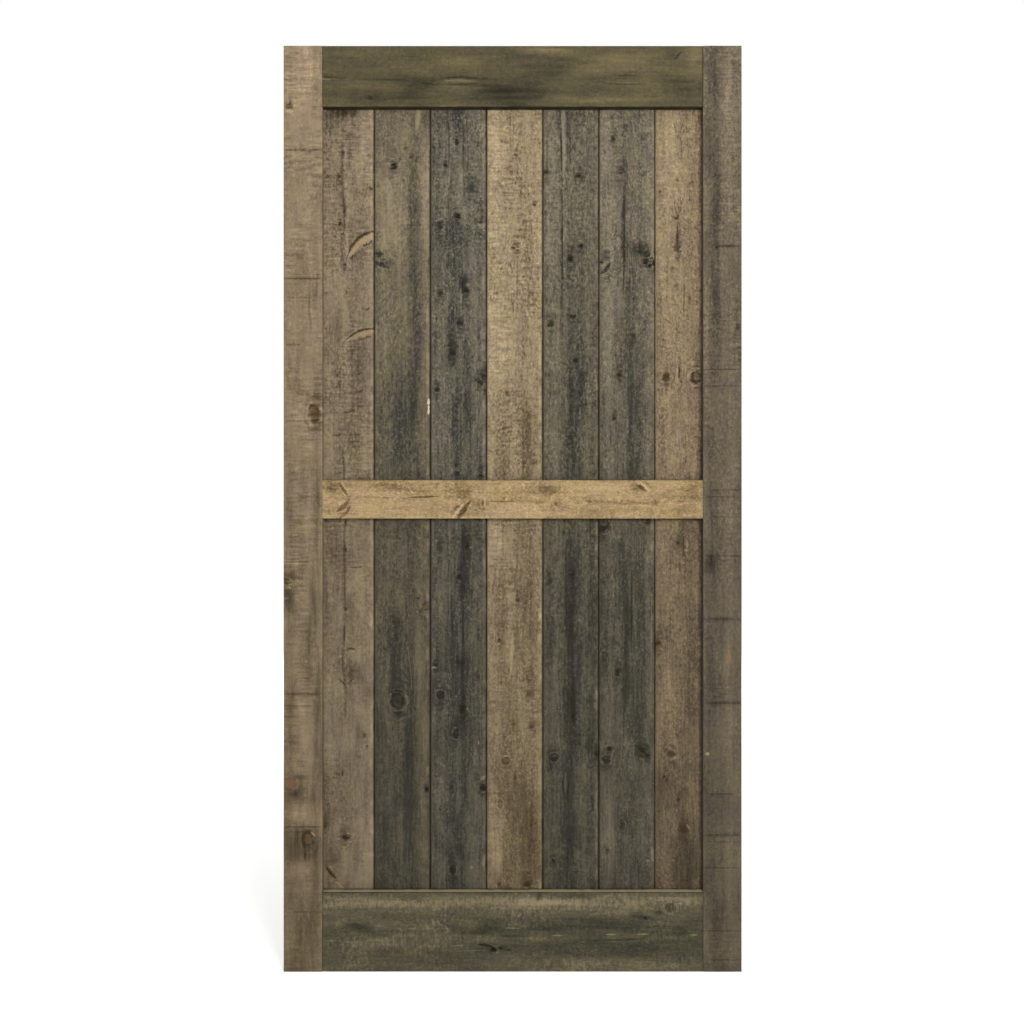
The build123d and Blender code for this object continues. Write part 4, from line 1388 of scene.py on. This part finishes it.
def make_frame_board(name, seed, upright):
    """One stile or rail of the face frame, with its own worn, darkened, painted-shade and painted-highlight
    edges.
    """
    low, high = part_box(name)
    section = frame_section(low.x, high.x) if upright else frame_section(low.z, high.z)
    start, end = (low.z, high.z) if upright else (low.x, high.x)
    near_ends = np.array(END_OFFSETS)
    extra = np.concatenate([kerf_stations(name, FRONT_Y).ravel(), start + near_ends, end - near_ends])
    stations = spread(start, end, ALONG_STEP if upright else RAIL_STEP, extra)
    front_count = len(section) - 4
    board = board_piece(name, section, stations, upright, FRONT_Y, seed, front_count)

    shade_and_grime = np.zeros(len(section))
    pale = np.zeros(len(section))
    low_edge = slice(1, 4)
    high_edge = slice(front_count - 4, front_count - 1)
    pale[low_edge] = EDGE_WEAR
    pale[high_edge] = EDGE_WEAR if name in ("right_stile", "top_rail") else 0.0
    if name == "right_stile":
        # The right stile's outer eased edge is darkened
        shade_and_grime[front_count - 3:front_count] = 0.2, 0.35, 0.4
    if name == "top_rail":
        # Painted shade on the top rail's underside and at the foot of its lower eased edge
        shade_and_grime[[-1, -2]] = 0.9
        shade_and_grime[0] = 0.5
        # A painted highlight, with wear, on the top rail's lower eased edge
        pale[low_edge] = EDGE_HIGHLIGHT
    if name == "mid_rail":
        # Painted shade on the mid rail's top eased edge and top face, where it meets the planks
        shade_and_grime[front_count - 4:front_count + 2] = 0.35, 0.5, 0.75, 0.9, 0.9, 0.9
    if name == "bottom_rail":
        # A painted highlight on the bottom rail's lit top: pale bare wood from its front edge to the middle
        # of its top
        pale[front_count - 1:front_count + 1] = BARE_EDGE_AND_HIGHLIGHT
        # Painted shade at the back of the bottom rail's top; its front eased edge is darkened
        shade_and_grime[front_count + 1] = 0.7
        shade_and_grime[high_edge] = 0.7
    if name in JOINT_SHADE:
        at_left, at_right = JOINT_SHADE[name]
        lines = at_left * np.exp(-(((stations - start) / JOINT_SHADE_REACH) ** 2))
        lines += at_right * np.exp(-(((end - stations) / JOINT_SHADE_REACH) ** 2))
        shade_and_grime = np.maximum(shade_and_grime, lines[:, None])
    piece = finish_board(board, 2, shade_and_grime, pale)
    finish = BOARD_FINISHES[name]
    ride_as(piece, name, sawn_pine(name, finish))


plank_names = ["left_edge_plank"] + [f"plank_{k}" for k in range(1, 8)] + ["right_edge_plank"]
for index, plank_name in enumerate(plank_names):
    make_plank(plank_name, PLANK_SEED + index, plank_name != plank_names[0], plank_name != plank_names[-1])
for index, board_name in enumerate(STILES + RAILS):
    make_frame_board(board_name, FRAME_SEED + index, board_name in STILES)

steel = screw_steel()
for node in SCREW_NODES:
    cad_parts[node].data.materials.clear()
    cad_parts[node].data.materials.append(steel)


# Floor, light and camera

FLOOR_HALF = 9.0
AMBIENT_LIGHT = 0.42
# The floor's glow near the door and far from it, and how far from the door's foot each of them lies
GLOW_NEAR, GLOW_FAR = 0.48, 0.68
NEAR_DOOR, FAR_FROM_DOOR = 0.9, 2.8


def floor_material():
    """A pale floor that takes the door's shadow, and is lifted to white for the camera and in reflections.

    The lift grows with the distance from the door's foot, so that the shadow beside the door stays clear.
    """
    r = Recipe(bpy.data.materials.new("pale_floor"))
    away = r.vectors("LENGTH", r.place())["Value"]
    lift = r.ramp(away, NEAR_DOOR, FAR_FROM_DOOR, GLOW_NEAR, GLOW_FAR, "LINEAR")
    glow = r.node("ShaderNodeEmission", {"Strength": r.times(r.seen(), lift)})
    diffuse = r.node("ShaderNodeBsdfDiffuse", {"Color": linear(FLOOR_PALE)})
    return r.surface(r.node("ShaderNodeAddShader", {0: diffuse.outputs[0], 1: glow.outputs[0]}))


def make_floor():
    """A square floor under the door, which is stage and no part of it."""
    half = FLOOR_HALF
    corners = [(-half, -half, 0), (half, -half, 0), (half, half, 0), (-half, half, 0)]
    mesh = bpy.data.meshes.new("floor")
    mesh.from_pydata(corners, [], [(0, 1, 2, 3)])
    mesh.materials.append(floor_material())
    floor = bpy.data.objects.new("floor", mesh)
    bpy.context.scene.collection.objects.link(floor)


def make_world():
    """Soft light from all round, and plain white where the camera or a reflection looks past the floor."""
    world = bpy.data.worlds.new("studio")
    bpy.context.scene.world = world
    r = Recipe(world)
    strength = r.ramp(r.seen(), 0.0, 1.0, AMBIENT_LIGHT, 1.0, "LINEAR")
    background = r.node("ShaderNodeBackground", {"Color": (1.0, 1.0, 1.0, 1.0), "Strength": strength})
    r.surface(background, "ShaderNodeOutputWorld")


def make_lamp(name, place, target, size, power):
    """A soft square lamp that looks at a point on the door."""
    data = bpy.data.lights.new(name, "AREA")
    data.shape = "SQUARE"
    data.size = size
    data.energy = power
    lamp = bpy.data.objects.new(name, data)
    lamp.location = place
    lamp.rotation_euler = (Vector(target) - Vector(place)).to_track_quat("-Z", "Y").to_euler()
    bpy.context.scene.collection.objects.link(lamp)


def make_camera():
    """The photograph's straight view, from EYE_DISTANCE in front of the door."""
    data = bpy.data.cameras.new("photo_view")
    data.sensor_width = SENSOR_MM
    data.lens = SENSOR_MM * FOCAL_PX / PHOTO_SIDE_PX
    camera = bpy.data.objects.new("photo_view", data)
    camera.location = (EYE_X, EYE_Y, EYE_Z)
    camera.rotation_euler = (radians(90), 0, 0)
    bpy.context.scene.collection.objects.link(camera)
    bpy.context.scene.camera = camera


make_floor()
make_world()
make_lamp("key_softbox", (1.1, -3.1, 2.05), (0.0, 0.0, 1.1), 1.2, 107.0)
make_lamp("overhead_softbox", (0.0, -0.9, 4.4), (0.0, 0.0, 0.6), 1.6, 34.0)
make_lamp("back_softbox", (0.0, 5.5, 1.3), (0.0, 0.0, 1.1), 1.4, 110.0)
make_camera()
bpy.context.scene.view_settings.view_transform = "Standard"
